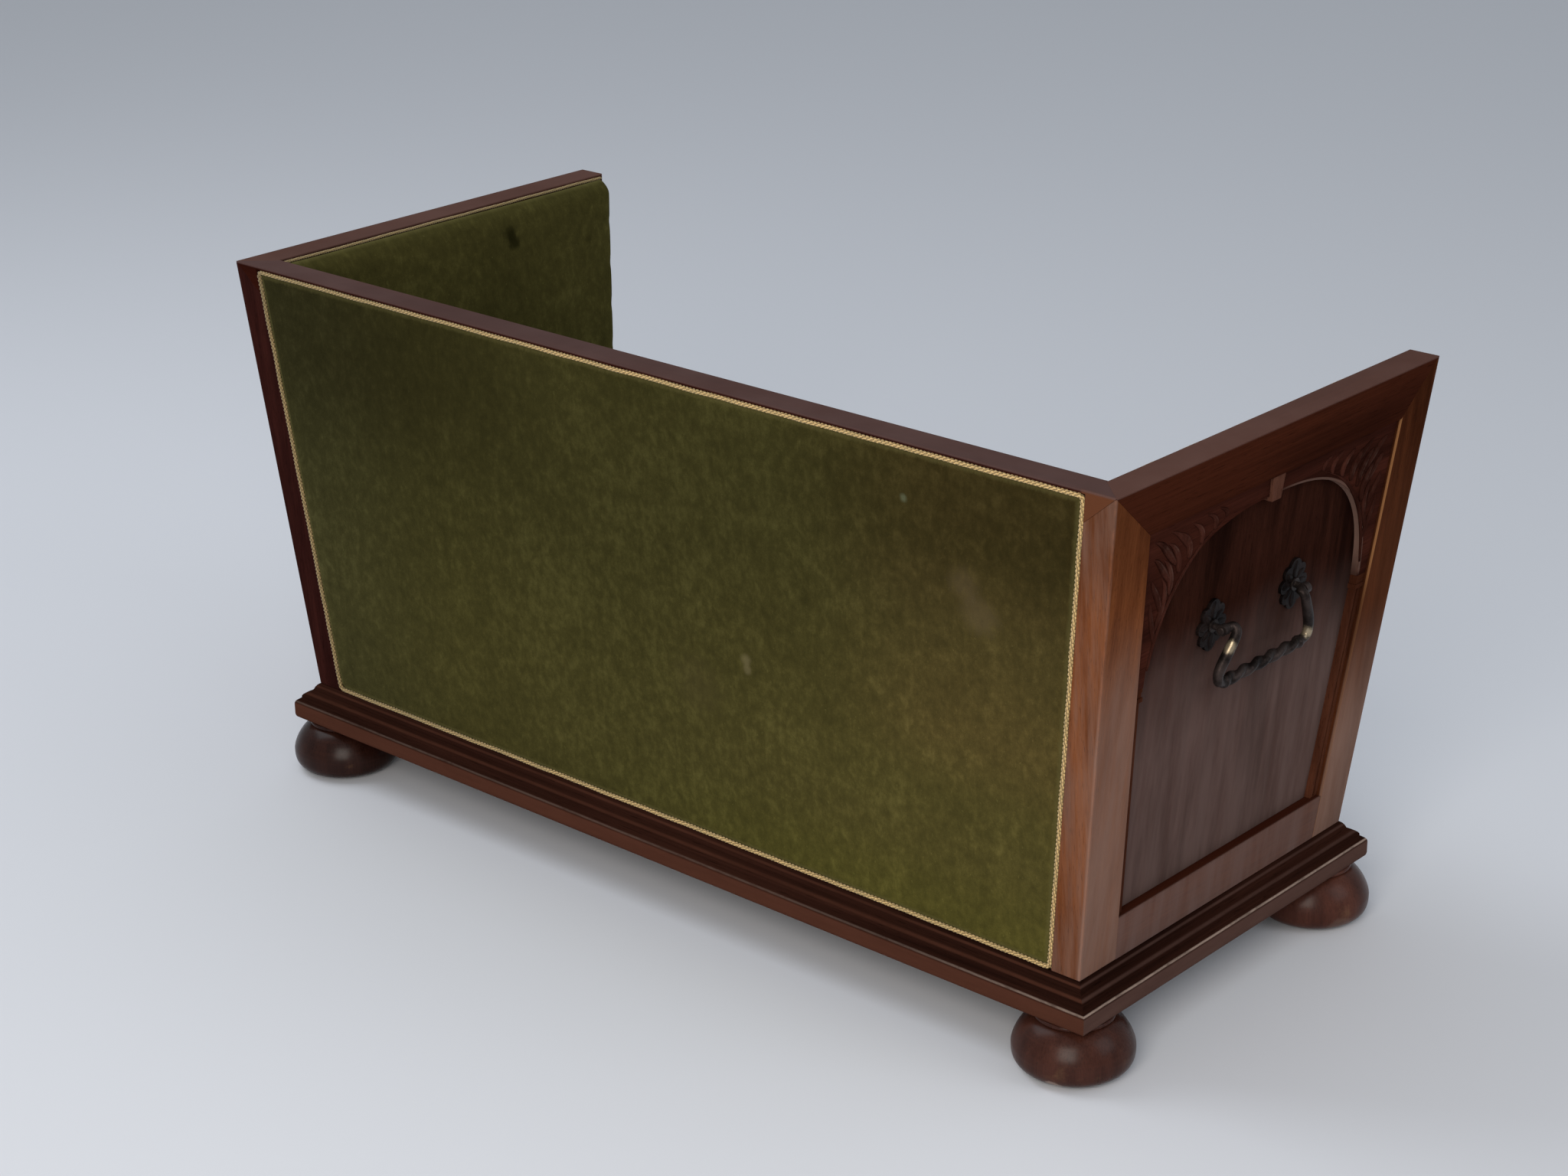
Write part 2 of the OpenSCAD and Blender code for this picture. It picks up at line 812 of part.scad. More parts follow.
// Gimp cords: plain round cords on the lines where the velour ends
cord_sides = 8;
back_cord_set = back_rebate - gimp_r - soft_clear;
back_cord_corner = 5.5;
function back_cord_point(p) = let (z = (back_panel_low + back_panel_high) / 2 + p[1]) [
    -p[0] * (back_panel_half(z) + gimp_r) / (back_panel_half(back_panel_mid) + gimp_r),
    back_y(z) - back_cord_set,
    z
];
module back_gimp_solid() {
    path = [
        for (p = round_outline(
            2 * (back_panel_half(back_panel_mid) + gimp_r),
            back_panel_high - back_panel_low + 2 * gimp_r, back_cord_corner))
            back_cord_point(p)
    ];
    n = len(path);
    loft([
        for (i = [0:n - 1])
            let (way = unit(path[(i + 1) % n] - path[(i + n - 1) % n]))
            round_ring(path[i], way, [0, 1, 0], gimp_r, cord_sides)
    ], true);
}
module straight_cord(from, to, r) {
    way = unit(to - from);
    side = unit(cross(way, [0, 0, 1]));
    loft([round_ring(from, way, side, r, cord_sides), round_ring(to, way, side, r, cord_sides)]);
}
cord_end = 5;
module arm_gimp_solid() {
    x = frame_t + soft_clear + inner_gimp_r - side_x(gimp_z);
    front_end = [x, arm_pad_front(gimp_z) + cord_end, gimp_z];
    straight_cord(front_end, [x, arm_pad_back(gimp_z), gimp_z], inner_gimp_r);
}
module back_pad_gimp_solid() {
    y = back_y(gimp_z) - frame_t - soft_clear - inner_gimp_r;
    reach = side_x(gimp_z) - frame_t - 2 * inner_gimp_r - 2 * soft_clear;
    straight_cord([-reach, y, gimp_z], [reach, y, gimp_z], inner_gimp_r);
}

// Seat frame
module front_apron_solid() {
    intersection() {
        front_slab(0, apron_t, case_bottom, seat_rail_top);
        between_arms(frame_t, case_bottom, seat_rail_top);
    }
}
module seat_rail_front_solid() {
    intersection() {
        front_slab(apron_t + joint_spare, apron_t + seat_rail_t, seat_rail_low, seat_rail_top);
        between_arms(frame_t, seat_rail_low, seat_rail_top);
    }
}
module seat_rail_back_solid() {
    intersection() {
        back_slab(frame_t, frame_t + seat_rail_t, seat_rail_low, seat_rail_top);
        between_arms(frame_t, seat_rail_low, seat_rail_top);
    }
}
module between_seat_rails() {
    low = seat_rail_low;
    high = seat_rail_top;
    front_t = apron_t + seat_rail_t;
    back_t = frame_t + seat_rail_t;
    across([
        [back_y(low) - back_t, low],
        [front_y(low) + front_t, low],
        [front_y(high) + front_t, high],
        [back_y(high) - back_t, high]
    ]);
}
module seat_rail_side_solid() {
    intersection() {
        side_slab(frame_t, frame_t + seat_rail_t, seat_rail_low, seat_rail_top);
        between_seat_rails();
    }
}
stretcher_w = 40;
module seat_stretcher_solid() {
    intersection() {
        translate([-stretcher_w / 2, -far / 2, 0])
            cube([stretcher_w, far, far]);
        between_seat_rails();
    }
}

// Springs in two rows, each over two lengthwise and two crosswise straps
spring_columns = 4;
spring_gap_x = 290;
spring_gap_y = 180;
spring_middle_y = -20;
spring_x = [for (i = [0:spring_columns - 1]) spring_gap_x * (i - (spring_columns - 1) / 2)];
spring_y = [spring_middle_y - spring_gap_y / 2, spring_middle_y + spring_gap_y / 2];
strap_gap = 6;
strap_step = (strap_w + strap_gap) / 2;
long_z = seat_rail_low - soft_clear - web_t;
cross_z = long_z - soft_clear - web_t;
module webbing_long_solid() {
    intersection() {
        for (y = spring_y)
            for (way = [-1, 1])
                translate([-far / 2, y + way * strap_step - strap_w / 2, long_z])
                    cube([far, strap_w, web_t]);
        between_arms(frame_t + soft_clear);
    }
}
module webbing_cross_solid() {
    intersection() {
        for (x = spring_x)
            for (way = [-1, 1])
                translate([x + way * strap_step - strap_w / 2, -far / 2, cross_z])
                    cube([strap_w, far, web_t]);
        across([
            [back_y(cross_z) - frame_t - soft_clear, cross_z - over],
            [front_y(cross_z) + apron_t + 1, cross_z - over],
            [front_y(cross_z) + apron_t + 1, seat_rail_low],
            [back_y(cross_z) - frame_t - soft_clear, seat_rail_low]
        ]);
    }
}
cover_t = 1;
cover_z = cross_z - soft_clear - cover_t;
module dust_cover_solid() {
    intersection() {
        translate([-far / 2, front_y(cover_z) + apron_t + 1, cover_z])
            cube([far, back_y(cover_z) - frame_t - soft_clear - front_y(cover_z) - apron_t - 1, cover_t]);
        between_arms(frame_t + soft_clear);
    }
}
spring_turns = 5;
spring_rings = 8;
spring_sides = 6;
spring_waist = 0.26;
function spring_path() = [
    for (i = [0:spring_turns * spring_rings])
        let (
            t = i / (spring_turns * spring_rings),
            r = (spring_r - wire_r) * (1 - spring_waist * sin(180 * t)),
            turn = 360 * spring_turns * t
        )
        [r * cos(turn), r * sin(turn), wire_r + t * (spring_h - 2 * wire_r)]
];
// Least gap between turns, measured on the points of the path
function spring_least_gap() = let (path = spring_path(), n = len(path)) min([
    for (i = [0:n - spring_rings]) for (j = [i + spring_rings - 2:min(i + spring_rings + 2, n - 1)])
        norm(path[j] - path[i]) - 2 * wire_r
]);
echo(least_gap_between_spring_turns = spring_least_gap());
module spring_solid() {
    path = spring_path();
    ways = headings(path);
    loft([
        for (i = [0:len(path) - 1])
            let (side = unit(cross(ways[i], [0, 0, 1])))
            round_ring(path[i], ways[i], side, wire_r, spring_sides)
    ]);
}
module seat_springs_solid() {
    for (x = spring_x)
        for (y = spring_y)
            translate([x, y, seat_rail_low])
                spring_solid();
}

// Seat upholstery: a front border over the rails, and a crowned pad on the springs
border_set = 2 * gimp_r + soft_clear;
border_back = apron_t + seat_rail_t;
seat_reach_back = frame_t + back_pad_t + 2 * soft_clear;
seat_side = frame_t + arm_pad_t + 2 * soft_clear;
module seat_hessian_solid() {
    low = spring_top + soft_clear;
    high = low + hessian_t;
    intersection() {
        between_arms(seat_side, low, high);
        across([
            [back_y(low) - seat_reach_back, low],
            [front_y(low) + border_back + soft_clear, low],
            [front_y(high) + border_back + soft_clear, high],
            [back_y(high) - seat_reach_back, high]
        ]);
    }
}
seat_round = 30;
seat_corner = 16;
seat_edge_z = seat_h - seat_crown - seat_round;
seat_mid_y = (back_y(seat_edge_z) - seat_reach_back + front_y(seat_edge_z) + border_set) / 2;
seat_depth = back_y(seat_edge_z) - seat_reach_back - front_y(seat_edge_z) - border_set;
function seat_half(z) = side_x(z) - seat_side;
function on_seat(p) = [
    p[0] * seat_half(seat_under + p[2]) / seat_half(seat_edge_z),
    p[1] < 0
        ? seat_mid_y + p[1] * (seat_mid_y - front_y(seat_under + p[2]) - border_set) / (seat_depth / 2)
        : seat_mid_y + p[1] * (back_y(seat_under + p[2]) - seat_reach_back - seat_mid_y) / (seat_depth / 2),
    seat_under + p[2]
];
module seat_pad_solid() {
    loft([
        for (step = pad_steps(seat_h - seat_under, seat_round, seat_crown))
            [for (p = pad_ring(2 * seat_half(seat_edge_z), seat_depth, seat_corner, step)) on_seat(p)]
    ]);
    border_low = seat_rail_top + soft_clear;
    intersection() {
        front_slab(border_set, border_back, border_low, seat_under + over);
        between_arms(seat_side, border_low, seat_under + over);
    }
}
module seat_gimp_solid() {
    z = seat_rail_top + soft_clear + gimp_r;
    y = front_y(z) + gimp_r;
    reach = side_x(z) - seat_side;
    straight_cord([-reach, y, z], [reach, y, z], gimp_r);
}

// Plinth: a moulding with two rounded members over a flat one, mitred at its corners
plinth_in = frame_t;
// Share of the projection and height of each point of the moulding, from its top down
moulding = [
    [0, 50], [0.06, 49.4], [0.14, 47.6], [0.21, 45], [0.26, 42.2], [0.28, 40.6], [0.31, 40.4],
    [0.42, 39], [0.55, 36.8], [0.66, 34.4], [0.715, 32.4], [0.725, 29.6], [0.81, 28],
    [0.9, 26.2], [0.96, 24.4], [0.99, 22.4], [1, 20.6], [1, 6], [0.985, 3.6], [0.95, 1.6], [0.9, 0.4],
    [0.87, 0]
];
moulding_h = 50;
module plinth_side(reach, way_in) {
    polygon(concat(
        [for (m = moulding) [reach + plinth_out * m[0], m[1] * plinth_h / moulding_h]],
        [[way_in, 0], [way_in, plinth_h]]
    ));
}
base_x = side_x(case_bottom);
base_back = back_y(case_bottom);
base_front = -front_y(case_bottom);
// The mitred boards of the plinth, each cut to its share of the plan
module share(plan) {
    linear_extrude(height = far)
        polygon(plan);
}
mitre_out = plinth_out + over;
mitre_in = plinth_in + over;
foot_x = base_x + plinth_out - foot_inset;
foot_back_y = base_back + plinth_out - foot_inset;
foot_front_y = -(base_front + plinth_out - foot_inset);
dowel_clear = 0.05;
module dowel_bores() {
    for (x = [-foot_x, foot_x])
        for (y = [foot_back_y, foot_front_y])
            translate([x, y, foot_h - foot_dowel_in])
                cylinder(r = foot_dowel_r + dowel_clear, h = far);
}
module plinth_long_solid(reach) {
    difference() {
        intersection() {
            translate([0, 0, foot_h])
                rotate([90, 0, 90])
                    linear_extrude(height = far, center = true)
                        plinth_side(reach, reach - plinth_in);
            share([
                [base_x + mitre_out, reach + mitre_out],
                [base_x - mitre_in, reach - mitre_in],
                [mitre_in - base_x, reach - mitre_in],
                [-base_x - mitre_out, reach + mitre_out]
            ]);
        }
        dowel_bores();
        mirror([0, 1, 0])
            dowel_bores();
    }
}
module plinth_end_solid() {
    difference() {
        intersection() {
            translate([0, 0, foot_h])
                rotate([90, 0, 0])
                    linear_extrude(height = far, center = true)
                        plinth_side(base_x, base_x - plinth_in);
            share([
                [base_x + mitre_out, base_back + mitre_out],
                [base_x - mitre_in, base_back - mitre_in],
                [base_x - mitre_in, mitre_in - base_front],
                [base_x + mitre_out, -base_front - mitre_out]
            ]);
        }
        dowel_bores();
    }
}
module corner_blocks_solid() {
    x = base_x - plinth_in;
    for (way = [0, 1])
        mirror([way, 0, 0])
            translate([0, 0, foot_h])
                linear_extrude(height = plinth_h) {
                    back = base_back - plinth_in;
                    front = plinth_in - base_front;
                    polygon([[x, back], [x - block_leg, back], [x, back - block_leg]]);
                    polygon([[x, front], [x - block_leg, front], [x, front + block_leg]]);
                }
}

// Bun foot: a full lower curve, a more conical shoulder and a rounded collar
foot_steps = 14;
lower_power = 3;
upper_power = 1.5;
neck_r = collar_r - 3;
neck_z = foot_h - collar_h;
collar_round = collar_h / 2;
module foot_solid() {
    rise = neck_z - foot_belly_h;
    difference() {
        rotate_extrude($fn = 96)
            polygon(concat(
                [[0, 0]],
                [for (i = [0:foot_steps])
                    let (turn = 90 * i / foot_steps)
                    [
                        foot_sole_r + (foot_r - foot_sole_r) * pow(sin(turn), 2 / lower_power),
                        foot_belly_h * (1 - pow(cos(turn), 2 / lower_power))
                    ]],
                [for (i = [1:foot_steps])
                    let (turn = 90 * i / foot_steps)
                    [
                        neck_r + (foot_r - neck_r) * pow(cos(turn), 2 / upper_power),
                        foot_belly_h + rise * pow(sin(turn), 2 / upper_power)
                    ]],
                [for (i = [0:6])
                    let (turn = 180 * i / 6 - 90)
                    [
                        collar_r - collar_round + collar_round * cos(turn),
                        neck_z + collar_round * (1 + sin(turn))
                    ]],
                [[0, foot_h]]
            ));
        translate([0, 0, foot_h - foot_dowel_in])
            cylinder(r = foot_dowel_r + dowel_clear, h = far);
    }
}
module foot_at(x, y) {
    translate([x, y, 0])
        foot_solid();
}
dowel_end = 1;
module foot_dowels_solid() {
    for (x = [-foot_x, foot_x])
        for (y = [foot_back_y, foot_front_y])
            translate([x, y, foot_h - foot_dowel_in + dowel_end])
                cylinder(r = foot_dowel_r, h = foot_dowel_in + plinth_h - 2 * dowel_end);
}

// Every sub-part in its place and colour; the right arm mirrors the left one
module mirrored(shade) {
    color(shade)
        mirror([1, 0, 0])
            children();
}
module foot_back_left() { color(dark_wood) foot_at(-foot_x, foot_back_y); }
module foot_back_right() { color(dark_wood) foot_at(foot_x, foot_back_y); }
module foot_front_left() { color(dark_wood) foot_at(-foot_x, foot_front_y); }
module foot_front_right() { color(dark_wood) foot_at(foot_x, foot_front_y); }
module foot_dowels() { color(beech) foot_dowels_solid(); }
module plinth_back() { color(dark_wood) plinth_long_solid(base_back); }
module plinth_front() { color(dark_wood) mirror([0, 1, 0]) plinth_long_solid(base_front); }
module plinth_left() { mirrored(dark_wood) plinth_end_solid(); }
module plinth_right() { color(dark_wood) plinth_end_solid(); }
module corner_blocks() { color(beech) corner_blocks_solid(); }
module back_post_left() { color(mahogany) back_post_solid(); }
module back_post_right() { mirrored(mahogany) back_post_solid(); }
module front_post_left() { color(mahogany) front_post_solid(); }
module front_post_right() { mirrored(mahogany) front_post_solid(); }
module arm_top_rail_left() { color(mahogany) arm_top_rail_solid(); }
module arm_top_rail_right() { mirrored(mahogany) arm_top_rail_solid(); }
module arm_bottom_rail_left() { color(mahogany) arm_bottom_rail_solid(); }
module arm_bottom_rail_right() { mirrored(mahogany) arm_bottom_rail_solid(); }
module spandrel_back_left() { color(mahogany) spandrel_back_solid(); }
module spandrel_back_right() { mirrored(mahogany) spandrel_back_solid(); }
module spandrel_front_left() { color(mahogany) spandrel_front_solid(); }
module spandrel_front_right() { mirrored(mahogany) spandrel_front_solid(); }
module field_panel_left() { color(dark_wood) field_panel_solid(); }
module field_panel_right() { mirrored(dark_wood) field_panel_solid(); }
module keystone_left() { color(mahogany) keystone_solid(); }
module keystone_right() { mirrored(mahogany) keystone_solid(); }
module pilasters_left() { color(mahogany) pilasters_solid(); }
module pilasters_right() { mirrored(mahogany) pilasters_solid(); }
module carvings_left() { color(mahogany) carvings_solid(); }
module carvings_right() { mirrored(mahogany) carvings_solid(); }
module handle_plates_left() { color(iron) handle_plates_solid(); }
module handle_plates_right() { mirrored(iron) handle_plates_solid(); }
module handle_posts_left() { color(iron) handle_posts_solid(); }
module handle_posts_right() { mirrored(iron) handle_posts_solid(); }
module bail_left() { color(iron) bail_solid(); }
module bail_right() { mirrored(iron) bail_solid(); }
module arm_pad_left() { color(velour) arm_pad_solid(); }
module arm_pad_right() { mirrored(velour) arm_pad_solid(); }
module arm_gimp_left() { color(gimp_gold) arm_gimp_solid(); }
module arm_gimp_right() { mirrored(gimp_gold) arm_gimp_solid(); }
module back_top_rail() { color(mahogany) back_top_rail_solid(); }
module back_bottom_rail() { color(beech) back_frame_part(case_bottom, back_rail_low); }
module back_uprights() { color(beech) back_uprights_solid(); }
module back_panel() { color(velour) back_panel_solid(); }
module back_gimp() { color(gimp_gold) back_gimp_solid(); }
module back_pad() { color(velour) back_pad_solid(); }
module back_pad_gimp() { color(gimp_gold) back_pad_gimp_solid(); }
module front_apron() { color(mahogany) front_apron_solid(); }
module seat_rail_front() { color(beech) seat_rail_front_solid(); }
module seat_rail_back() { color(beech) seat_rail_back_solid(); }
module seat_rail_left() { color(beech) seat_rail_side_solid(); }
module seat_rail_right() { mirrored(beech) seat_rail_side_solid(); }
module seat_stretcher() { color(beech) seat_stretcher_solid(); }
module webbing_long() { color(jute) webbing_long_solid(); }
module webbing_cross() { color(jute) webbing_cross_solid(); }
module seat_springs() { color("#8a8a86") seat_springs_solid(); }
module seat_hessian() { color(jute) seat_hessian_solid(); }
module seat_pad() { color(velour) seat_pad_solid(); }
module seat_gimp() { color(gimp_gold) seat_gimp_solid(); }
module dust_cover() { color("#2a2826") dust_cover_solid(); }

foot_back_left();
foot_back_right();
foot_front_left();
foot_front_right();
foot_dowels();
plinth_back();
plinth_front();
plinth_left();
plinth_right();
corner_blocks();
back_post_left();
front_post_left();
arm_top_rail_left();
arm_bottom_rail_left();
back_post_right();
front_post_right();
arm_top_rail_right();
arm_bottom_rail_right();
spandrel_back_left();
spandrel_front_left();
field_panel_left();
keystone_left();
spandrel_back_right();
spandrel_front_right();
field_panel_right();
keystone_right();
pilasters_left();
carvings_left();
pilasters_right();
carvings_right();
handle_plates_left();
handle_posts_left();
bail_left();
handle_plates_right();
handle_posts_right();
bail_right();
back_top_rail();
back_bottom_rail();
back_uprights();
back_panel();
back_gimp();
back_pad();
back_pad_gimp();
arm_pad_left();
arm_gimp_left();
arm_pad_right();
arm_gimp_right();
front_apron();
seat_rail_front();
seat_rail_back();
seat_rail_left();
seat_rail_right();
seat_stretcher();
webbing_long();
webbing_cross();
seat_springs();
seat_hessian();
seat_pad();
seat_gimp();
dust_cover();
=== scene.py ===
from math import copysign, cos, exp, pi, radians, sin, sqrt, tau

import bmesh
import bpy
from mathutils import Matrix, Vector, noise


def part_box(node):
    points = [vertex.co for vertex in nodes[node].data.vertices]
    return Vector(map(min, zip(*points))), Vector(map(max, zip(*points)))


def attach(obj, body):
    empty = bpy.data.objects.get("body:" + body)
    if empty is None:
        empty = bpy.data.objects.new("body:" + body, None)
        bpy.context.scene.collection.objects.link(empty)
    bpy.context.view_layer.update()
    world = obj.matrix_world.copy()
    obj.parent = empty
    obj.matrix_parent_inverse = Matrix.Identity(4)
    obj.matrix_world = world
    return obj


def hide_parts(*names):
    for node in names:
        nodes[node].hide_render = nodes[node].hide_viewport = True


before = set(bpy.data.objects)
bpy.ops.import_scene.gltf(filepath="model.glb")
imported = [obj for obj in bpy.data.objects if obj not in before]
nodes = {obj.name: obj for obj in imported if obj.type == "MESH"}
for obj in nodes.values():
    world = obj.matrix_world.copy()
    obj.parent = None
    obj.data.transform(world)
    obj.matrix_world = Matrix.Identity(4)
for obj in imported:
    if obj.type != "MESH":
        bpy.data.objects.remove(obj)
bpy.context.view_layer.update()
scene = bpy.context.scene
# noise_vector, which waves the gimp, starts from this seed
noise.seed_set(7)

# the case: a box that leans out on every side, sizes in metres
caseSize = {
    "halfTop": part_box("back_top_rail")[1].x,
    "backTop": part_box("back_top_rail")[1].y,
    "frontTop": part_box("arm_top_rail_left")[0].y,
    "top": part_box("arm_top_rail_left")[1].z,
    "bottom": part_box("front_apron")[0].z,
    "armLean": 0.06,
    "backLean": 0.0425,
    "frontLean": 0.0605,
    "frame": 0.0395,
    "clear": 0.0003,
    "postBack": 0.068,
    "postFront": 0.06,
    "topRail": 0.062,
    "boardSet": 0.005,
    "panelSet": 0.015,
}
caseHeight = caseSize["top"] - caseSize["bottom"]


# where the leaning outer faces stand at a height, which is a number or a shader value
def sideX(z):
    return caseSize["halfTop"] - caseSize["armLean"] / caseHeight * (caseSize["top"] - z)


def backY(z):
    return caseSize["backTop"] - caseSize["backLean"] / caseHeight * (caseSize["top"] - z)


def frontY(z):
    return caseSize["frontTop"] + caseSize["frontLean"] / caseHeight * (caseSize["top"] - z)


def lerp(a, b, t):
    return a + (b - a) * t


def smoothstep(t):
    t = min(max(t, 0), 1)
    return t * t * (3 - 2 * t)


# shader maths: a socket that adds, subtracts and multiplies
class Wire:
    def __init__(self, finish, socket):
        self.finish = finish
        self.socket = socket

    def __add__(self, other):
        return self.finish.math("ADD", self, other)

    def __sub__(self, other):
        return self.finish.math("SUBTRACT", self, other)

    def __rsub__(self, other):
        return self.finish.math("SUBTRACT", other, self)

    def __mul__(self, other):
        return self.finish.math("MULTIPLY", self, other)

    __radd__ = __add__
    __rmul__ = __mul__


class Finish:
    def __init__(self, name):
        self.material = bpy.data.materials.new(name)
        self.material.use_nodes = True
        self.tree = self.material.node_tree
        self.skin = self.tree.nodes["Principled BSDF"]
        self.place = self.node("TexCoord", {}, "Object")
        self.x, self.y, self.z = self.split(self.place)

    # a node: its type, the values or links of its sockets, the output that is used, and its settings
    def node(self, kind, inputs, output=0, **settings):
        made = self.tree.nodes.new("ShaderNode" + kind)
        for key, value in settings.items():
            setattr(made, key, value)
        for key, value in inputs.items():
            self.feed(made.inputs[key], value)
        return Wire(self, made.outputs[output])

    def feed(self, socket, value):
        if isinstance(value, Wire):
            self.tree.links.new(value.socket, socket)
        elif socket.type == "RGBA" and len(value) == 3:
            socket.default_value = (*value, 1)
        else:
            socket.default_value = value

    def math(self, operation, a, b=0):
        return self.node("Math", {0: a, 1: b}, operation=operation)

    def split(self, vector):
        parts = self.tree.nodes.new("ShaderNodeSeparateXYZ")
        self.tree.links.new(vector.socket, parts.inputs[0])
        return [Wire(self, s) for s in parts.outputs]

    def join(self, x, y, z):
        return self.node("CombineXYZ", {0: x, 1: y, 2: z})

    # fractal noise over the object, or over a vector of its own; its scale is one number or one for each axis
    def cloud(self, scale, detail, roughness, distortion=0, move=(0, 0, 0), vector=None):
        scales = scale if isinstance(scale, tuple) else (scale,) * 3
        place = {"Vector": vector or self.place, "Scale": scales, "Location": move}
        return self.node("TexNoise", {"Vector": self.node("Mapping", place), "Scale": 1, "Detail": detail,
                                      "Roughness": roughness, "Distortion": distortion})

    def distance(self, point):
        return self.node("VectorMath", {0: self.place, 1: point}, "Value", operation="DISTANCE")

    # 0 below low and 1 above high, or the other way round
    def step(self, value, low, high):
        span = {"Value": value, "From Min": low, "From Max": high}
        return self.node("MapRange", span, "Result", interpolation_type="SMOOTHSTEP")

    # 1 within a width of a value, falling off to 0 over a soft edge
    def line(self, value, at, width, soft):
        return self.step(self.math("ABSOLUTE", value - at), width + soft, width)

    def blend(self, amount, a, b, mode="MIX"):
        return self.node("Mix", {0: amount, 6: a, 7: b}, 2, data_type="RGBA", blend_type=mode)

    # a layer is its colour, the step of the value over which it sets in, and how far it covers
    def over(self, under, value, layer, gain=1):
        colour, span, amount = layer
        return self.blend(self.step(value, *span) * amount, under, tuple(c * gain for c in colour))

    def larger(self, a, b):
        return self.math("MAXIMUM", a, b)

    def smaller(self, a, b):
        return self.math("MINIMUM", a, b)

    def bump(self, height, strength, distance, under=None):
        below = {"Normal": under} if under else {}
        return self.node("Bump", {"Height": height, "Strength": strength, "Distance": distance, **below})

    def skinned(self, **values):
        for key, value in values.items():
            self.feed(self.skin.inputs[key.replace("_", " ")], value)
        return self.material


# wood: growth bands, ribbon stripes, short dark pores and a satin lacquer
# a texture is its scale, detail, roughness, distortion and offset, and a pair of values is the ends of a step;
# those that follow the grain have their scale across it and along it
woodLook = {
    "bands": ((13, 0.7), 4, 0.6, 0.9),
    "ribbon": ((46, 1.6), 4, 0.62, 0, (3, 1, 2)),
    "pores": ((900, 34), 2, 0.5),
    "scratches": ((420, 3), 2, 0.6, 0, (1, 7, 4)),
    "patch": ((3.1, 3.1, 2.3), 3, 0.5, 0, (5, 2, 8)),
    "tone": (0.42, 0.68), "toneShares": (0.5, 0.38, 0.22),
    "pit": (0.4, 0.3), "pitAmount": 0.5, "pitShade": 0.32,
    "scratchTone": {"From Min": 0.3, "From Max": 0.7, "To Min": 0.25, "To Max": 0.8}, "scratchAmount": 0.26,
    "scratchRough": 0.16, "patchRough": 0.2,
    "arris": 0.0016, "arrisSpan": (2.2, 0.4), "chipping": (26, 5, 0.7), "chips": (0.36, 0.62),
    "wornGain": 1.7, "wornLift": 0.03,
    "depths": (-0.4, -0.5, 0.5, 0.5), "fineBump": (0.35, 0.00018), "broadBump": (0.3, 0.0012),
    "coatRough": 0.22,
}
grainTurns = {"x": (1, 0, 0), "y": (0, 1, 0), "z": (0, 0, 1)}


def along(axis, across, lengthwise):
    return tuple(lengthwise if on else across for on in grainTurns[axis])


# depth behind the outer faces and below the top, in metres
def behindSide(f):
    return sideX(f.z) - f.math("ABSOLUTE", f.x)


def behindBack(f):
    return backY(f.z) - f.y


def behindFront(f):
    return f.y - frontY(f.z)


def belowTop(f):
    return caseSize["top"] - f.z


def arrisWear(f):
    side, back, front, top = behindSide(f), behindBack(f), behindFront(f), belowTop(f)
    near = f.larger(side, back)
    for a, b in ((side, front), (side, top), (back, top)):
        near = f.smaller(near, f.larger(a, b))
    outer, inner = (woodLook["arris"] * share for share in woodLook["arrisSpan"])
    return f.step(near, outer, inner) * f.step(f.cloud(*woodLook["chipping"]), *woodLook["chips"])


def wood(name, axis, light, dark, layers=(), roughness=0.38, wear=0.5, coat=0, shine=0):
    f = Finish(name)
    look = woodLook

    def grain(texture):
        (across, lengthwise), *rest = look[texture]
        return f.cloud(along(axis, across, lengthwise), *rest)
    bands, ribbon, pores, scratches = (grain(t) for t in ("bands", "ribbon", "pores", "scratches"))
    patch = f.cloud(*look["patch"])
    pit = f.step(pores, *look["pit"])
    bandShare, ribbonShare, patchShare = look["toneShares"]
    tone = bands * bandShare + ribbon * ribbonShare + patch * patchShare
    colour = f.over(dark, tone, (light, look["tone"], 1))
    colour = f.blend(pit * look["pitAmount"], colour, tuple(c * look["pitShade"] for c in dark))
    scuffed = f.node("MapRange", {"Value": scratches, **look["scratchTone"]}, "Result")
    colour = f.blend(look["scratchAmount"], colour, scuffed, "SOFT_LIGHT")
    rough = roughness + (scratches - 0.5) * look["scratchRough"] + (patch - 0.5) * look["patchRough"]
    for layer in layers:
        colour, rough = layer(f, colour, rough)
    worn = tuple(min(1, c * look["wornGain"] + look["wornLift"]) for c in light)
    colour = f.blend(arrisWear(f) * wear, colour, worn)
    poreDepth, pitDepth, ribbonDepth, bandDepth = look["depths"]
    lift = f.bump(pores * poreDepth + pit * pitDepth + ribbon * ribbonDepth, *look["fineBump"])
    wave = f.bump(patch + bands * bandDepth, *look["broadBump"], lift)
    return f.skinned(Base_Color=colour, Roughness=rough, Normal=wave, Coat_Weight=coat,
                     Coat_Roughness=look["coatRough"], Specular_IOR_Level=shine)


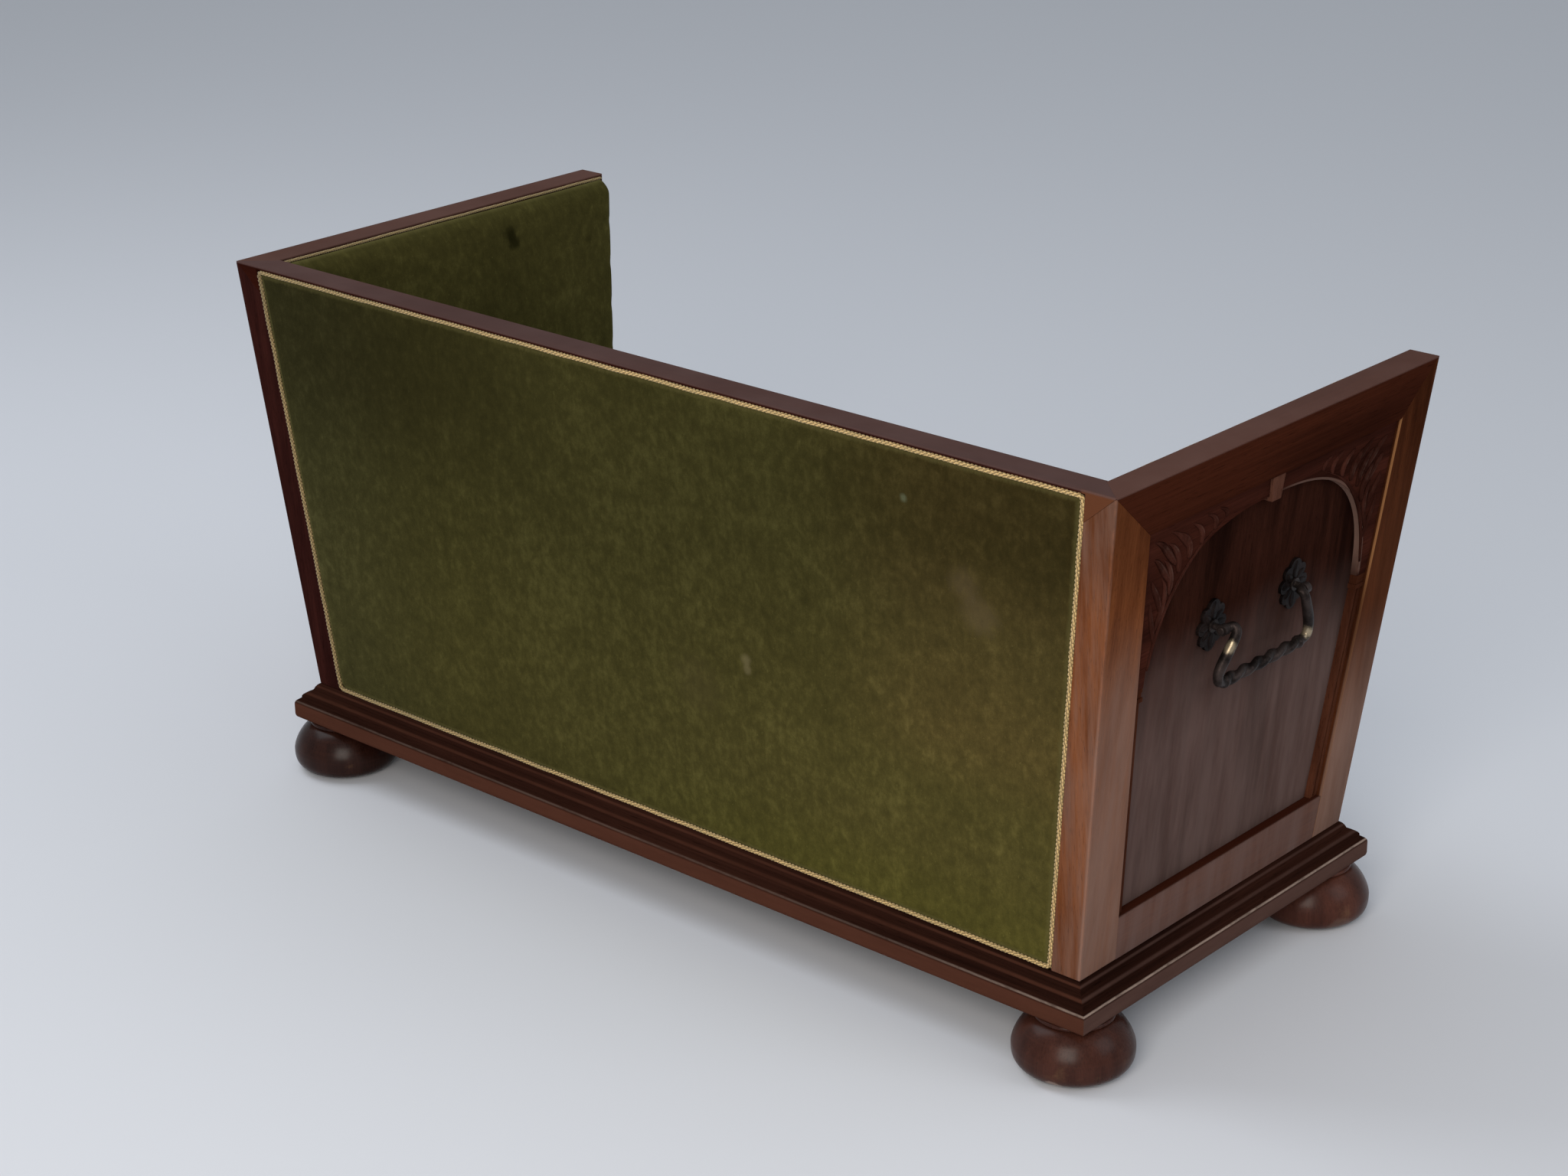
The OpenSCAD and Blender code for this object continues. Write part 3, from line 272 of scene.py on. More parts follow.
# cut pile velour: soft mottling, faint nap streaks down the cloth, a lighter fringe and pale worn spots
velourLook = {
    "deep": (0.023, 0.0205, 0.0062),
    "body": ((0.0435, 0.0385, 0.0112), (0.36, 0.64), 1),
    "bright": ((0.07, 0.0645, 0.0205), (0.5, 0.72), 0.85),
    "lit": ((0.105, 0.09675, 0.03075), (0.6, 0.76), 0.3),
    "hollow": ((0.0115, 0.01025, 0.0031), (0.55, 0.25), 0.35),
    "fringe": ((0.125, 0.112, 0.042), (0.007, 0.001), 0.4), "fringeRagged": 0.005,
    "worn": (0.135, 0.115, 0.06), "wornRagged": (1.1, 0.9), "wornCore": 0.2, "shadingRagged": 0.2,
    "streaks": ((300, 60, 1), 3, 0.6),
    "runs": ((60, 7, 1), 4, 0.62, 0.4, (4, 9, 0)),
    "mottle": ((84, 62, 1), 5, 0.66, 0.2, (6, 3, 0)),
    "blot": ((32, 25, 1), 4, 0.6, 0.1, (1, 5, 0)),
    "fleck": ((260, 150, 1), 3, 0.7, 0, (8, 1, 0)),
    "patch": (6.5, 4, 0.55, 0.5, (2, 6, 1)),
    "broad": (1.8, 2, 0.5, 0, (7, 3, 4)),
    "pile": (1500, 1, 0.5),
    "napShares": (0.05, 0.06, 0.34, 0.2, 0.14, 0.21), "fuzz": (0.55, 0.0007), "hand": (0.3, 0.0014),
    "skin": {"Roughness": 0.92, "Sheen_Weight": 0.1, "Sheen_Roughness": 0.5, "Sheen_Tint": (0.6, 0.55, 0.2, 1),
             "Specular_IOR_Level": 0},
}


# the cloth lies across x, across y, or both ways on the seat, where y runs on from z
def velour(name, across="x", spots=(), fringe=None, paintedShading=(), paintedLight=1):
    f = Finish(name)
    look = velourLook
    cloth = f.join(f.y if across == "y" else f.x, f.z + f.y if across == "both" else f.z, 0)
    woven = ("streaks", "runs", "mottle", "blot", "fleck")
    streaks, runs, mottle, blot, fleck = (f.cloud(*look[key], vector=cloth) for key in woven)
    patch, broad, pile = (f.cloud(*look[key]) for key in ("patch", "broad", "pile"))
    nap = 0
    for texture, share in zip((streaks, runs, mottle, blot, patch, broad), look["napShares"]):
        nap = texture * share + nap
    colour = tuple(c * paintedLight for c in look["deep"])
    for key, value in (("body", nap), ("bright", nap), ("lit", fleck), ("hollow", pile)):
        colour = f.over(colour, value, look[key], paintedLight)
    patchy, mottled = look["wornRagged"]
    for at, size, amount, tint in spots:
        ragged = f.distance(at) + ((patch - 0.5) * patchy + (mottle - 0.5) * mottled) * size
        colour = f.over(colour, ragged, (tint, (size, size * look["wornCore"]), amount))
    for where, factor in paintedShading:
        colour = f.blend(where(f) + (mottle - 0.5) * look["shadingRagged"], colour, factor, "MULTIPLY")
    if fringe:
        colour = f.over(colour, fringe(f) + (streaks - 0.5) * look["fringeRagged"], look["fringe"])
    fuzz = f.bump(pile * 0.6 + streaks * 0.5, *look["fuzz"])
    return f.skinned(Base_Color=colour, Normal=f.bump(runs + mottle, *look["hand"], fuzz), **look["skin"])


# twisted gimp: fine yarns run round each strand, and greyish dirt lies between them
gimpLook = {
    "yarns": 2, "yarnPitch": 0.0034, "lay": (0.2, 0.128, 0.044), "yarn": ((0.64, 0.44, 0.185), (-0.8, 0.7), 1),
    "dirtGrain": (46, 3, 0.6), "dirt": ((0.26, 0.2, 0.08), (0.42, 0.68), 0.4),
    "fibreGrain": (1800, 1, 0.5), "fibre": ((0.78, 0.6, 0.31), (0.5, 0.8), 0.3),
    "gimpShade": (0.1, 0.078, 0.03), "bump": (0.5, 0.0003), "skin": {"Roughness": 0.74, "Sheen_Weight": 0.15},
}


def gimpCord(name, gimpShade):
    f = Finish(name)
    look = gimpLook
    uv = f.split(f.node("TexCoord", {}, "UV"))
    yarns = f.math("SINE", uv[0] * (tau * look["yarns"]) + uv[1] * (tau / look["yarnPitch"]))
    dirt, fibre = f.cloud(*look["dirtGrain"]), f.cloud(*look["fibreGrain"])
    colour = look["lay"]
    for key, value in (("yarn", yarns), ("dirt", dirt), ("fibre", fibre)):
        colour = f.over(colour, value, look[key])
    colour = f.blend(gimpShade(f), colour, look["gimpShade"])
    return f.skinned(Base_Color=colour, Normal=f.bump(yarns * 0.5 + fibre, *look["bump"]), **look["skin"])


# patinated iron: nearly black in the hollows, and bare and brassy at given spots, which are rubbed wear and a painted
# highlight both
ironLook = {
    "grain": (260, 4, 0.65), "lit": ((0.56, 0.74), 0.5), "litGain": 2.2,
    "patch": (38, 4, 0.6, 0, (3, 3, 3)), "patchStep": (0.36, 0.66), "rough": 0.46, "roughGrain": 0.3,
    "bare": (0.42, 0.34, 0.23), "bareCore": 0.3, "bareAmount": 0.75, "bareSmooth": 0.16, "dents": (0.4, 0.0006),
}


def ironwork(name, dark, light, metal=0.6, rubbedHighlights=()):
    f = Finish(name)
    look = ironLook
    grain, patch = f.cloud(*look["grain"]), f.cloud(*look["patch"])
    colour = f.over(dark, patch, (light, look["patchStep"], 1))
    colour = f.over(colour, grain, (light, *look["lit"]), look["litGain"])
    rough = look["rough"] + (grain - 0.5) * look["roughGrain"]
    for at, size in rubbedHighlights:
        bare = f.step(f.distance(at) + (grain - 0.5) * size, size, size * look["bareCore"])
        colour = f.blend(bare * look["bareAmount"], colour, look["bare"])
        rough = rough - bare * look["bareSmooth"]
    return f.skinned(Base_Color=colour, Roughness=rough, Metallic=metal, Normal=f.bump(grain + patch, *look["dents"]),
                     Specular_IOR_Level=0.05)


# the hidden materials: beech, plain woven webbing and cloth, and spring wire
def beechWood(name, axis):
    f = Finish(name)
    bands = f.cloud(along(axis, 22, 1.2), 4, 0.6, 0.5)
    flecks = f.cloud(along(axis, 520, 60), 2, 0.5)
    colour = f.over((0.42, 0.27, 0.14), bands, ((0.56, 0.39, 0.22), (0.35, 0.65), 1))
    colour = f.over(colour, flecks, ((0.27, 0.15, 0.07), (0.62, 0.72), 0.6))
    return f.skinned(Base_Color=colour, Roughness=0.66, Normal=f.bump(flecks + bands, 0.3, 0.0004))


def plainWeave(name, light, dark, threads=520):
    f = Finish(name)
    warp, weft = (f.math("SINE", way * (threads * tau)) for way in (f.x, f.y))
    slub = f.cloud((40, 190, 40), 3, 0.6)
    over = f.step(warp * weft, -0.6, 0.6)
    colour = f.blend(over * 0.7 + slub * 0.3, dark, light)
    return f.skinned(Base_Color=colour, Roughness=0.9, Normal=f.bump(over + slub, 0.5, 0.0006), Sheen_Weight=0.1)


def drawnWire(name):
    f = Finish(name)
    rust = f.cloud(60, 4, 0.6)
    colour = f.over((0.34, 0.33, 0.31), rust, ((0.19, 0.12, 0.07), (0.5, 0.72), 1))
    return f.skinned(Base_Color=colour, Roughness=0.42 + rust * 0.2, Metallic=0.85, Normal=f.bump(rust, 0.2, 0.0003))


# pieces: one mesh each, at the origin, riding on a body
def placed(name, data):
    made = bpy.data.objects.new(name, data)
    scene.collection.objects.link(made)
    return made


def piece(mesh, material, body="sofa", stands=()):
    made = placed(mesh.name, mesh)
    mesh.materials.append(material)
    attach(made, body)
    if stands:
        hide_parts(*stands)
    return made


def meshOf(bm, name):
    bmesh.ops.recalc_face_normals(bm, faces=bm.faces)
    mesh = bpy.data.meshes.new(name)
    bm.to_mesh(mesh)
    bm.free()
    mesh.shade_smooth()
    return mesh


def clad(material, *names):
    for name in names:
        for spot in nodes[name].material_slots:
            spot.material = material


hands = (("left", -1), ("right", 1))


def bothSides(*names):
    return [f"{name}_{side}" for name in names for side, _ in hands]


def shaped(made, kind, **settings):
    modifier = made.modifiers.new(kind.lower(), kind)
    for key, value in settings.items():
        setattr(modifier, key, value)


# eased arrises on the joinery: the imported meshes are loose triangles, so they are welded first
arrisSize = {"weld": 0.00002, "bevel": {"segments": 3, "limit_method": "ANGLE", "angle_limit": radians(28)}}


def easeEdges(width, *names):
    for name in names:
        shaped(nodes[name], "WELD", merge_threshold=arrisSize["weld"])
        shaped(nodes[name], "BEVEL", width=width, **arrisSize["bevel"])


# colours of the mahogany, light and dark: orange on the near post, nearly black red on the top rails
mahogany = {
    "post": ((0.185, 0.06, 0.021), (0.09, 0.027, 0.01)),
    "frontPost": ((0.078, 0.0235, 0.009), (0.031, 0.009, 0.004)),
    # the far post's tones are the post's wood painted darker, as painted shade
    "shadedFarPost": ((0.037, 0.0105, 0.0082), (0.017, 0.005, 0.0044)),
    "topRail": ((0.045, 0.0118, 0.0058), (0.02, 0.0055, 0.0032)),
    "rail": ((0.11, 0.036, 0.016), (0.05, 0.015, 0.0075)),
    "board": ((0.052, 0.0145, 0.009), (0.02, 0.006, 0.004)),
    "carving": ((0.058, 0.0185, 0.0125), (0.02, 0.0062, 0.0042)),
    "field": ((0.032, 0.0105, 0.0065), (0.011, 0.004, 0.0027)),
    "plinth": ((0.026, 0.0095, 0.0062), (0.009, 0.0034, 0.0024)),
    "foot": ((0.055, 0.0183, 0.0115), (0.029, 0.0092, 0.006)),
    "keystone": ((0.085, 0.035, 0.023), (0.045, 0.017, 0.011)),
    "pilaster": ((0.1, 0.034, 0.018), (0.045, 0.0145, 0.008)),
    # tones painted over the wood from here on: a greyish painted reflection of the floor first, then painted sheen,
    # highlights and shade; rubbed and bare also stand for wear
    "floorHaze": (0.15, 0.098, 0.086),
    "sheen": (0.225, 0.14, 0.11),
    "grey": (0.12, 0.066, 0.055),
    "umber": (0.034, 0.0095, 0.004),
    "russet": (0.108, 0.039, 0.019),
    "maroon": (0.026, 0.0055, 0.0035),
    "plum": (0.108, 0.066, 0.061),
    "rubbed": (0.33, 0.245, 0.2),
    "bare": (0.4, 0.23, 0.11),
    "gold": (0.36, 0.17, 0.07),
}


# painted layers: a colour, the parts of the case that it covers, and how much rougher it makes the polish
# a part is 1 where the paint is whole: between two heights, within a depth of a face, or along ragged streaks
layerLook = {
    "broad": (5, 3, 0.5, 0, (1, 6, 3)), "broadRagged": 0.14,
    "tall": ((9, 9, 4), 3, 0.5, 0, (3, 1, 8)), "tallRagged": 0.12,
    "runs": (((30, 30, 3), 4, 0.65, 0, (2, 4, 1)), (0.25, 0.7), 0.55),
    "patches": ((5, 4, 0.6, 0, (1, 6, 3)), (0.3, 0.7), 0.7),
    "threads": (((70, 70, 2.5), 4, 0.6, 0, (2, 4, 1)), (0.3, 0.7), 0),
    "face": (0.0045, 0.0012), "thinFace": (0.003, 0.001), "arrisFace": (0.003, 0.0018), "recess": (0.0012, 0.0024),
}


def painted(paint, amount, *parts, matt=0):
    def layer(f, colour, rough):
        cover = amount
        for part in parts:
            cover = part(f) * cover
        return f.blend(cover, colour, mahogany[paint]), rough + cover * matt
    return layer


def heights(low, high, texture=None):
    def part(f):
        ragged = (f.cloud(*layerLook[texture]) - 0.5) * layerLook[texture + "Ragged"] if texture else 0
        return f.step(f.z + ragged, low, high)
    return part


def face(depth, span="face"):
    return lambda f: f.step(depth(f), *layerLook[span])


def streaks(kind):
    texture, span, least = layerLook[kind]
    return lambda f: least + f.step(f.cloud(*texture), *span) * (1 - least)


# painted reflection of the pale floor: a greyish haze low on the arm, in streaks, where the polish is also a little
# rougher
def paintedFloorReflection(high, low, amount, colour, *more):
    return painted(colour, amount, heights(high, low, "broad"), streaks("runs"), *more, matt=0.12)


# painted sheen on the top faces, greyish and in patches, where the polish is also a little rougher
def paintedTopSheen(amount, colour="grey"):
    near = heights(caseSize["top"] - 0.003, caseSize["top"] - 0.0006)
    return painted(colour, amount, near, streaks("patches"), matt=0.12)


outerFace, backFace = face(behindSide), face(behindBack, "thinFace")
# painted sheen on the faces towards the back, in thread-like streaks
paintedBackSheen = painted("sheen", 0.4, face(behindBack), streaks("threads"), matt=0.1)
# the narrow face above the back's gimp is dark in its shade, and the rail's end takes the near post's colour
darkBack = painted("maroon", 0.7, backFace)
railEnd = painted("russet", 1, backFace, lambda f: f.step(f.x, -0.662, -0.668))
# the low rail's inner arris is dark in its own shade, and the front post's beside the board has a painted golden
# highlight
darkReveal = painted("maroon", 0.75, face(behindSide, "recess"))
paintedGoldenHighlight = painted(
    "gold", 1, face(behindSide, "arrisFace"), lambda f: 0.15 + f.step(f.z, 0.42, 0.5) * 0.5,
    lambda f: f.step(behindFront(f), caseSize["postFront"] - 0.0022, caseSize["postFront"] - 0.0006))


# the arch of the spandrel boards, a superellipse, and a painted highlight on its rim and inner face
archSize = {"middle": -0.0042, "half": 0.2165, "rise": 0.167, "spring": 0.469, "power": 2.5, "rim": (1.02, 0.012, 0.02)}


def paintedArchHighlight(f, colour, rough):
    arch = archSize
    across = f.math("POWER", f.math("ABSOLUTE", f.y - arch["middle"]) * (1 / arch["half"]), arch["power"])
    high = f.math("POWER", f.larger(f.z - arch["spring"], 0) * (1 / arch["rise"]), arch["power"])
    farHalf = f.step(f.y, 0, -0.06) * f.step(f.z, arch["spring"], arch["spring"] + 0.01)
    rim = f.line(across + high, *arch["rim"]) * farHalf
    board = caseSize["boardSet"]
    inner = f.step(behindSide(f), board + 0.0004, board + 0.0016) * f.step(f.z, 0.45, 0.52)
    return f.blend(f.larger(rim * 0.35, inner * 0.6), colour, mahogany["sheen"]), rough


# the plinth: a paler lower band, painted reflection of the floor; two faint painted highlights on the rounded members;
# and the arris rubbed pale, partly wear and partly painted highlight, more so at the near end of the long pieces
plinthLook = {
    "broken": ((9, 9, 60), 5, 0.72, 0, (2, 5, 7)), "fine": ((70, 70, 160), 3, 0.65), "nearEnd": (-0.35, -0.7),
    "band": (0.0962, 0.0925), "crowns": (0.1183, 0.1085), "crown": (0.0004, 0.0016),
    "arris": 0.0966, "arrisWide": (0.0004, 0.0012), "arrisRagged": 0.0012, "rubbed": (0.36, 0.56), "rubbedRough": 0.15,
}


def plinthWearAndHighlight(band, rubbing, nearer=0):
    def wearAndLight(f, colour, rough):
        look = plinthLook
        broken, fine = f.cloud(*look["broken"]), f.cloud(*look["fine"])
        near = f.step(f.x, *look["nearEnd"]) * nearer
        colour = f.blend(f.step(f.z, *look["band"]) * (0.4 + broken * 0.5), colour, band)
        for crown in look["crowns"]:
            colour = f.blend(f.line(f.z, crown, *look["crown"]) * (broken * 0.6 + near * 0.3), colour, band)
        arris = f.line(f.z + (broken - 0.5) * look["arrisRagged"], look["arris"], *look["arrisWide"])
        grains = 0.4 + f.step(broken * 0.6 + fine * 0.4, *look["rubbed"]) * 0.6
        rubbed = arris * grains * (near + rubbing)
        return f.blend(rubbed, colour, mahogany["rubbed"]), rough + rubbed * look["rubbedRough"]
    return wearAndLight


# the joinery: its wood, the axis of the grain, tones, wear of the arrises, layers and nodes
# painted reflections of the floor, greyish low on the case, and a lighter russet band painted on the front posts'
# middle as painted light
floorReflections = {
    "post": paintedFloorReflection(0.6, 0.38, 0.75, "sheen", outerFace),
    "upperPost": paintedFloorReflection(0.68, 0.46, 0.5, "russet", outerFace),
    "lowerPost": paintedFloorReflection(0.46, 0.24, 0.8, "sheen", outerFace),
    "rail": paintedFloorReflection(0.8, 0.2, 0.75, "floorHaze", outerFace),
    "board": paintedFloorReflection(0.48, 0.36, 0.3, "floorHaze"),
    "field": paintedFloorReflection(0.52, 0.36, 0.72, "floorHaze"),
}
# painted shade: the near back post darker towards its head, the pilasters darker above their middle
paintedShadeHead, paintedShadePilaster = (painted("umber", amount, heights(*span, "tall")) for amount, span in (
    (0.55, (0.54, 0.68)), (0.6, (0.38, 0.47))))
plinthSide, plinthLong = plinthWearAndHighlight((0.115, 0.064, 0.052), 0.8), plinthWearAndHighlight((0.098, 0.037, 0.023), 0.15, 0.4)
joinery = [
    ("post", "z", "post", 0.22, (paintedShadeHead, paintedBackSheen, floorReflections["post"], paintedTopSheen(0.9)), ["back_post_left"]),
    ("far-post", "z", "shadedFarPost", 0.12, (paintedTopSheen(0.9),), ["back_post_right"]),
    ("front-post", "z", "frontPost", 0.2, (floorReflections["upperPost"], floorReflections["lowerPost"], paintedTopSheen(0.9), paintedGoldenHighlight),
     bothSides("front_post")),
    ("back-rail", "x", "topRail", 0.12, (darkBack, railEnd, paintedTopSheen(0.85, "plum")), ["back_top_rail"]),
    ("arm-rail", "y", "topRail", 0.15, (paintedTopSheen(0.85),), bothSides("arm_top_rail")),
    ("low-rail", "y", "rail", 0.25, (floorReflections["rail"], darkReveal), bothSides("arm_bottom_rail")),
    ("board", "y", "board", 0.1, (floorReflections["board"], paintedArchHighlight), bothSides("spandrel_back", "spandrel_front")),
    ("keystone", "z", "keystone", 0.3, (), bothSides("keystone")),
    ("field", "z", "field", 0, (floorReflections["field"],), bothSides("field_panel")),
    ("pilaster", "z", "pilaster", 0, (paintedShadePilaster,), bothSides("pilasters", "carvings")),
    ("front", "x", "post", 0.4, (), ["front_apron"]),
    ("plinth-side", "y", "plinth", 0, (plinthSide,), ["plinth_left", "plinth_right"]),
    ("plinth-long", "x", "plinth", 0, (plinthLong,), ["plinth_back", "plinth_front"]),
]
for kind, axis, tones, wear, layers, covered in joinery:
    clad(wood(f"mahogany-{kind}", axis, *mahogany[tones], layers, wear=wear), *covered)
easeEdges(0.001, "back_top_rail", *bothSides("back_post", "front_post", "arm_top_rail", "arm_bottom_rail"))
easeEdges(0.0008, *bothSides("spandrel_back", "spandrel_front", "keystone", "pilasters"))
easeEdges(0.001, "front_apron", "plinth_back", "plinth_front", "plinth_left", "plinth_right")
print("joinery dressed")

# hidden frame, under the covers and below the seat
hidden = (
    (beechWood("beech-x", "x"), "seat_rail_front", "seat_rail_back", "back_bottom_rail", "corner_blocks"),
    (beechWood("beech-y", "y"), "seat_rail_left", "seat_rail_right", "seat_stretcher"),
    (beechWood("beech-z", "z"), "back_uprights", "foot_dowels"),
    (plainWeave("jute-webbing", (0.43, 0.31, 0.17), (0.2, 0.13, 0.065)), "webbing_long", "webbing_cross"),
    (plainWeave("spring-hessian", (0.4, 0.29, 0.165), (0.17, 0.115, 0.06), threads=700), "seat_hessian"),
    (plainWeave("cambric", (0.045, 0.043, 0.041), (0.014, 0.0135, 0.013), threads=900), "dust_cover"),
    (drawnWire("spring-wire"), "seat_springs"),
)
for material, *covered in hidden:
    clad(material, *covered)
print("hidden frame dressed")


# a section swept along points, its first face towards a side; u runs round the path and v along it
# its radius is a number, or is found from the point's number and the turn round the path
def sweep(bm, path, radius, sides, closed=False, side=Vector((0, 0, 1))):
    uv = bm.loops.layers.uv.verify()
    count = len(path)
    rings, lengths = [], [0]
    for i, p in enumerate(path):
        ahead = path[(i + 1) % count] if closed or i < count - 1 else p
        behind = path[i - 1] if closed or i > 0 else p
        way = (ahead - behind).normalized()
        side = (side - way * side.dot(way)).normalized()
        other = way.cross(side)
        ring = []
        for turn in (tau * k / sides for k in range(sides)):
            r = radius(i, turn) if callable(radius) else radius
            ring.append(bm.verts.new(p + (side * cos(turn) + other * sin(turn)) * r))
        rings.append(ring)
        lengths.append(lengths[-1] + (path[(i + 1) % count] - p).length)
    for i in range(count if closed else count - 1):
        after = rings[(i + 1) % count]
        for k in range(sides):
            j = (k + 1) % sides
            face = bm.faces.new((rings[i][k], rings[i][j], after[j], after[k]))
            for loop, (u, v) in zip(face.loops, ((k, i), (k + 1, i), (k + 1, i + 1), (k, i + 1))):
                loop[uv].uv = (u / sides, lengths[v])
    if not closed:
        bm.faces.new(rings[0])
        bm.faces.new(rings[-1])


# points at an even spacing along a path of straight runs
def evenly(path, spacing, closed=False):
    corners = path + path[:1] if closed else path
    marks = [0]
    for a, b in zip(corners, corners[1:]):
        marks.append(marks[-1] + (b - a).length)
    count = max(2, round(marks[-1] / spacing))
    points, i = [], 0
    for n in range(count if closed else count + 1):
        want = marks[-1] * n / count
        while i < len(corners) - 2 and marks[i + 1] < want:
            i += 1
        points.append(corners[i].lerp(corners[i + 1], (want - marks[i]) / (marks[i + 1] - marks[i])))
    return points


# bun feet, turned: the profile of each in steps round its axis
footSize = {
    "x": 0.629, "back": 0.253, "front": -0.243,
    "sole": 0.028, "belly": 0.0715, "bellyAt": 0.029,
    "neck": 0.0445, "neckAt": 0.066, "collar": 0.0475, "collarHigh": 0.006,
    "lowPower": 3, "highPower": 1.5, "steps": 22, "around": 96,
}


def footProfile(size):
    steps = [pi / 2 * i / size["steps"] for i in range(size["steps"] + 1)]
    lowPower, highPower = 2 / size["lowPower"], 2 / size["highPower"]
    low = [(lerp(size["sole"], size["belly"], sin(t) ** lowPower),
            size["bellyAt"] * (1 - max(cos(t), 0) ** lowPower)) for t in steps]
    high = [(lerp(size["neck"], size["belly"], max(cos(t), 0) ** highPower),
             lerp(size["bellyAt"], size["neckAt"], sin(t) ** highPower)) for t in steps[1:]]
    half = size["collarHigh"] / 2
    collar = [(size["collar"] - half + half * cos(t), size["neckAt"] + half * (1 + sin(t)))
              for t in (pi * (i / 8 - 0.5) for i in range(9))]
    return [(0, 0)] + low + high + collar + [(0, size["neckAt"] + size["collarHigh"])]


def turnedMesh(profile, at, around, name):
    bm = bmesh.new()
    points = [bm.verts.new((r, 0, z)) for r, z in profile]
    edges = [bm.edges.new(pair) for pair in zip(points, points[1:])]
    turn = {"cent": (0, 0, 0), "axis": (0, 0, 1), "angle": tau, "steps": around, "use_merge": True}
    bmesh.ops.spin(bm, geom=points + edges, **turn)
    bmesh.ops.remove_doubles(bm, verts=bm.verts, dist=0.000001)
    bmesh.ops.translate(bm, verts=bm.verts, vec=at)
    return meshOf(bm, name)


# polish rings, the belly rubbed bare, a dark sole, and chips at given places
footLook = {
    "broken": (30, 5, 0.7),
    "rings": ((3, 3, 240), 2, 0.5), "ring": (mahogany["foot"][0], (0.5, 0.7), 0.25),
    "belly": (0.004, 0.014), "bare": (0.56, 0.74), "bareAmount": 0.1, "bellyRough": 0.04,
    "sole": (0.009, 0.001), "soleDark": ((0.05, 0.03, 0.02), (0.4, 0.6), 0.7), "chipEdge": 0.7,
}


def footMarks(chips):
    def mark(f, colour, rough):
        look = footLook
        broken, rings = f.cloud(*look["broken"]), f.cloud(*look["rings"])
        colour = f.over(colour, rings, look["ring"])
        belly = f.line(f.z, footSize["bellyAt"], *look["belly"])
        colour = f.blend(belly * f.step(broken, *look["bare"]) * look["bareAmount"], colour, mahogany["bare"])
        soleDark, span, amount = look["soleDark"]
        colour = f.blend(f.step(f.z, *look["sole"]) * f.step(broken, *span) * amount, colour, soleDark)
        for at, size, amount in chips:
            ragged = f.distance(at) + (broken - 0.5) * size
            colour = f.over(colour, ragged, (mahogany["rubbed"], (size, size * look["chipEdge"]), amount))
        return colour, rough + belly * look["bellyRough"]
    return mark


# the third number scales a foot's tones: painted shade on the back right foot, painted light on the front left
feetPlaces = {
    "foot_back_left": (-footSize["x"], footSize["back"], 1, [((-0.646, 0.313, 0.004), 0.015, 0.6)]),
    "foot_back_right": (footSize["x"], footSize["back"], 0.5, []),
    "foot_front_left": (-footSize["x"], footSize["front"], 1.35, [((-0.69, -0.215, 0.006), 0.022, 0.12)]),
    "foot_front_right": (footSize["x"], footSize["front"], 1, []),
}
for name, (x, y, lit, chips) in feetPlaces.items():
    tones = [tuple(c * lit for c in tone) for tone in mahogany["foot"]]
    finish = wood(f"mahogany-{name}".replace("_", "-"), "z", *tones, wear=0, layers=(footMarks(chips),),
                  roughness=0.3, coat=0.08, shine=0.1)
    foot = turnedMesh(footProfile(footSize), (x, y, 0), footSize["around"], name + "_turned")
    piece(foot, finish, stands=(name,))
print("feet turned")

# gimp: two strands twisted round each other along the lines where the velour ends
gimpSize = {
    "back": 0.0031, "inner": 0.0022, "strand": 0.585, "offset": 0.41, "pitch": 3.5, "perTurn": 9, "sides": 7,
    "low": 0.1254, "high": 0.7156, "inset": 0.0429, "depth": 0.001, "corner": 0.0055, "wave": 0.0007, "waveTurns": 24,
}

# outer back cover: velour stretched over the frame, low crown, edges tucked under the gimp
backCover = {
    "low": 0.1262, "high": 0.7148, "inset": 0.0437, "behind": 0.0047, "crown": 0.0012,
    "edge": 0.0028, "across": 150, "up": 68, "wave": 0.0005,
}


def backCoverMesh(size):
    bm = bmesh.new()
    bmesh.ops.create_grid(bm, x_segments=size["across"], y_segments=size["up"], size=1)
    back = bmesh.ops.extrude_face_region(bm, geom=list(bm.faces))["geom"]
    behind = {v for v in back if isinstance(v, bmesh.types.BMVert)}
    for v in bm.verts:
        a, b = v.co.x, v.co.y
        z = lerp(size["low"], size["high"], (b + 1) / 2)
        half = sideX(z) - size["inset"]
        edge = min(half * (1 - abs(a)), z - size["low"], size["high"] - z)
        if v in behind:
            rise = -size["behind"]
        else:
            rounding = sqrt(max(0, 1 - (1 - min(edge / size["edge"], 1)) ** 2))
            wave = noise.noise(Vector((a * 5, b * 2.4, 3))) + 0.5 * noise.noise(Vector((a * 13, b * 5, 8)))
            crown = size["crown"] * (1 - a ** 4) * (1 - b ** 4) + wave * size["wave"] * min(edge * 20, 1)
            rise = lerp(-size["behind"] * 0.6, crown, rounding)
        v.co = Vector((a * half, backY(z) + rise, z))
    return meshOf(bm, "back_cover")


# how far a point of the back cover lies from the nearest gimp
def backFringe(f):
    gimp = gimpSize
    upright = f.smaller(f.z - gimp["low"] - gimp["back"], gimp["high"] - gimp["back"] - f.z)
    return f.smaller(behindSide(f) - gimp["inset"] - gimp["back"], upright)


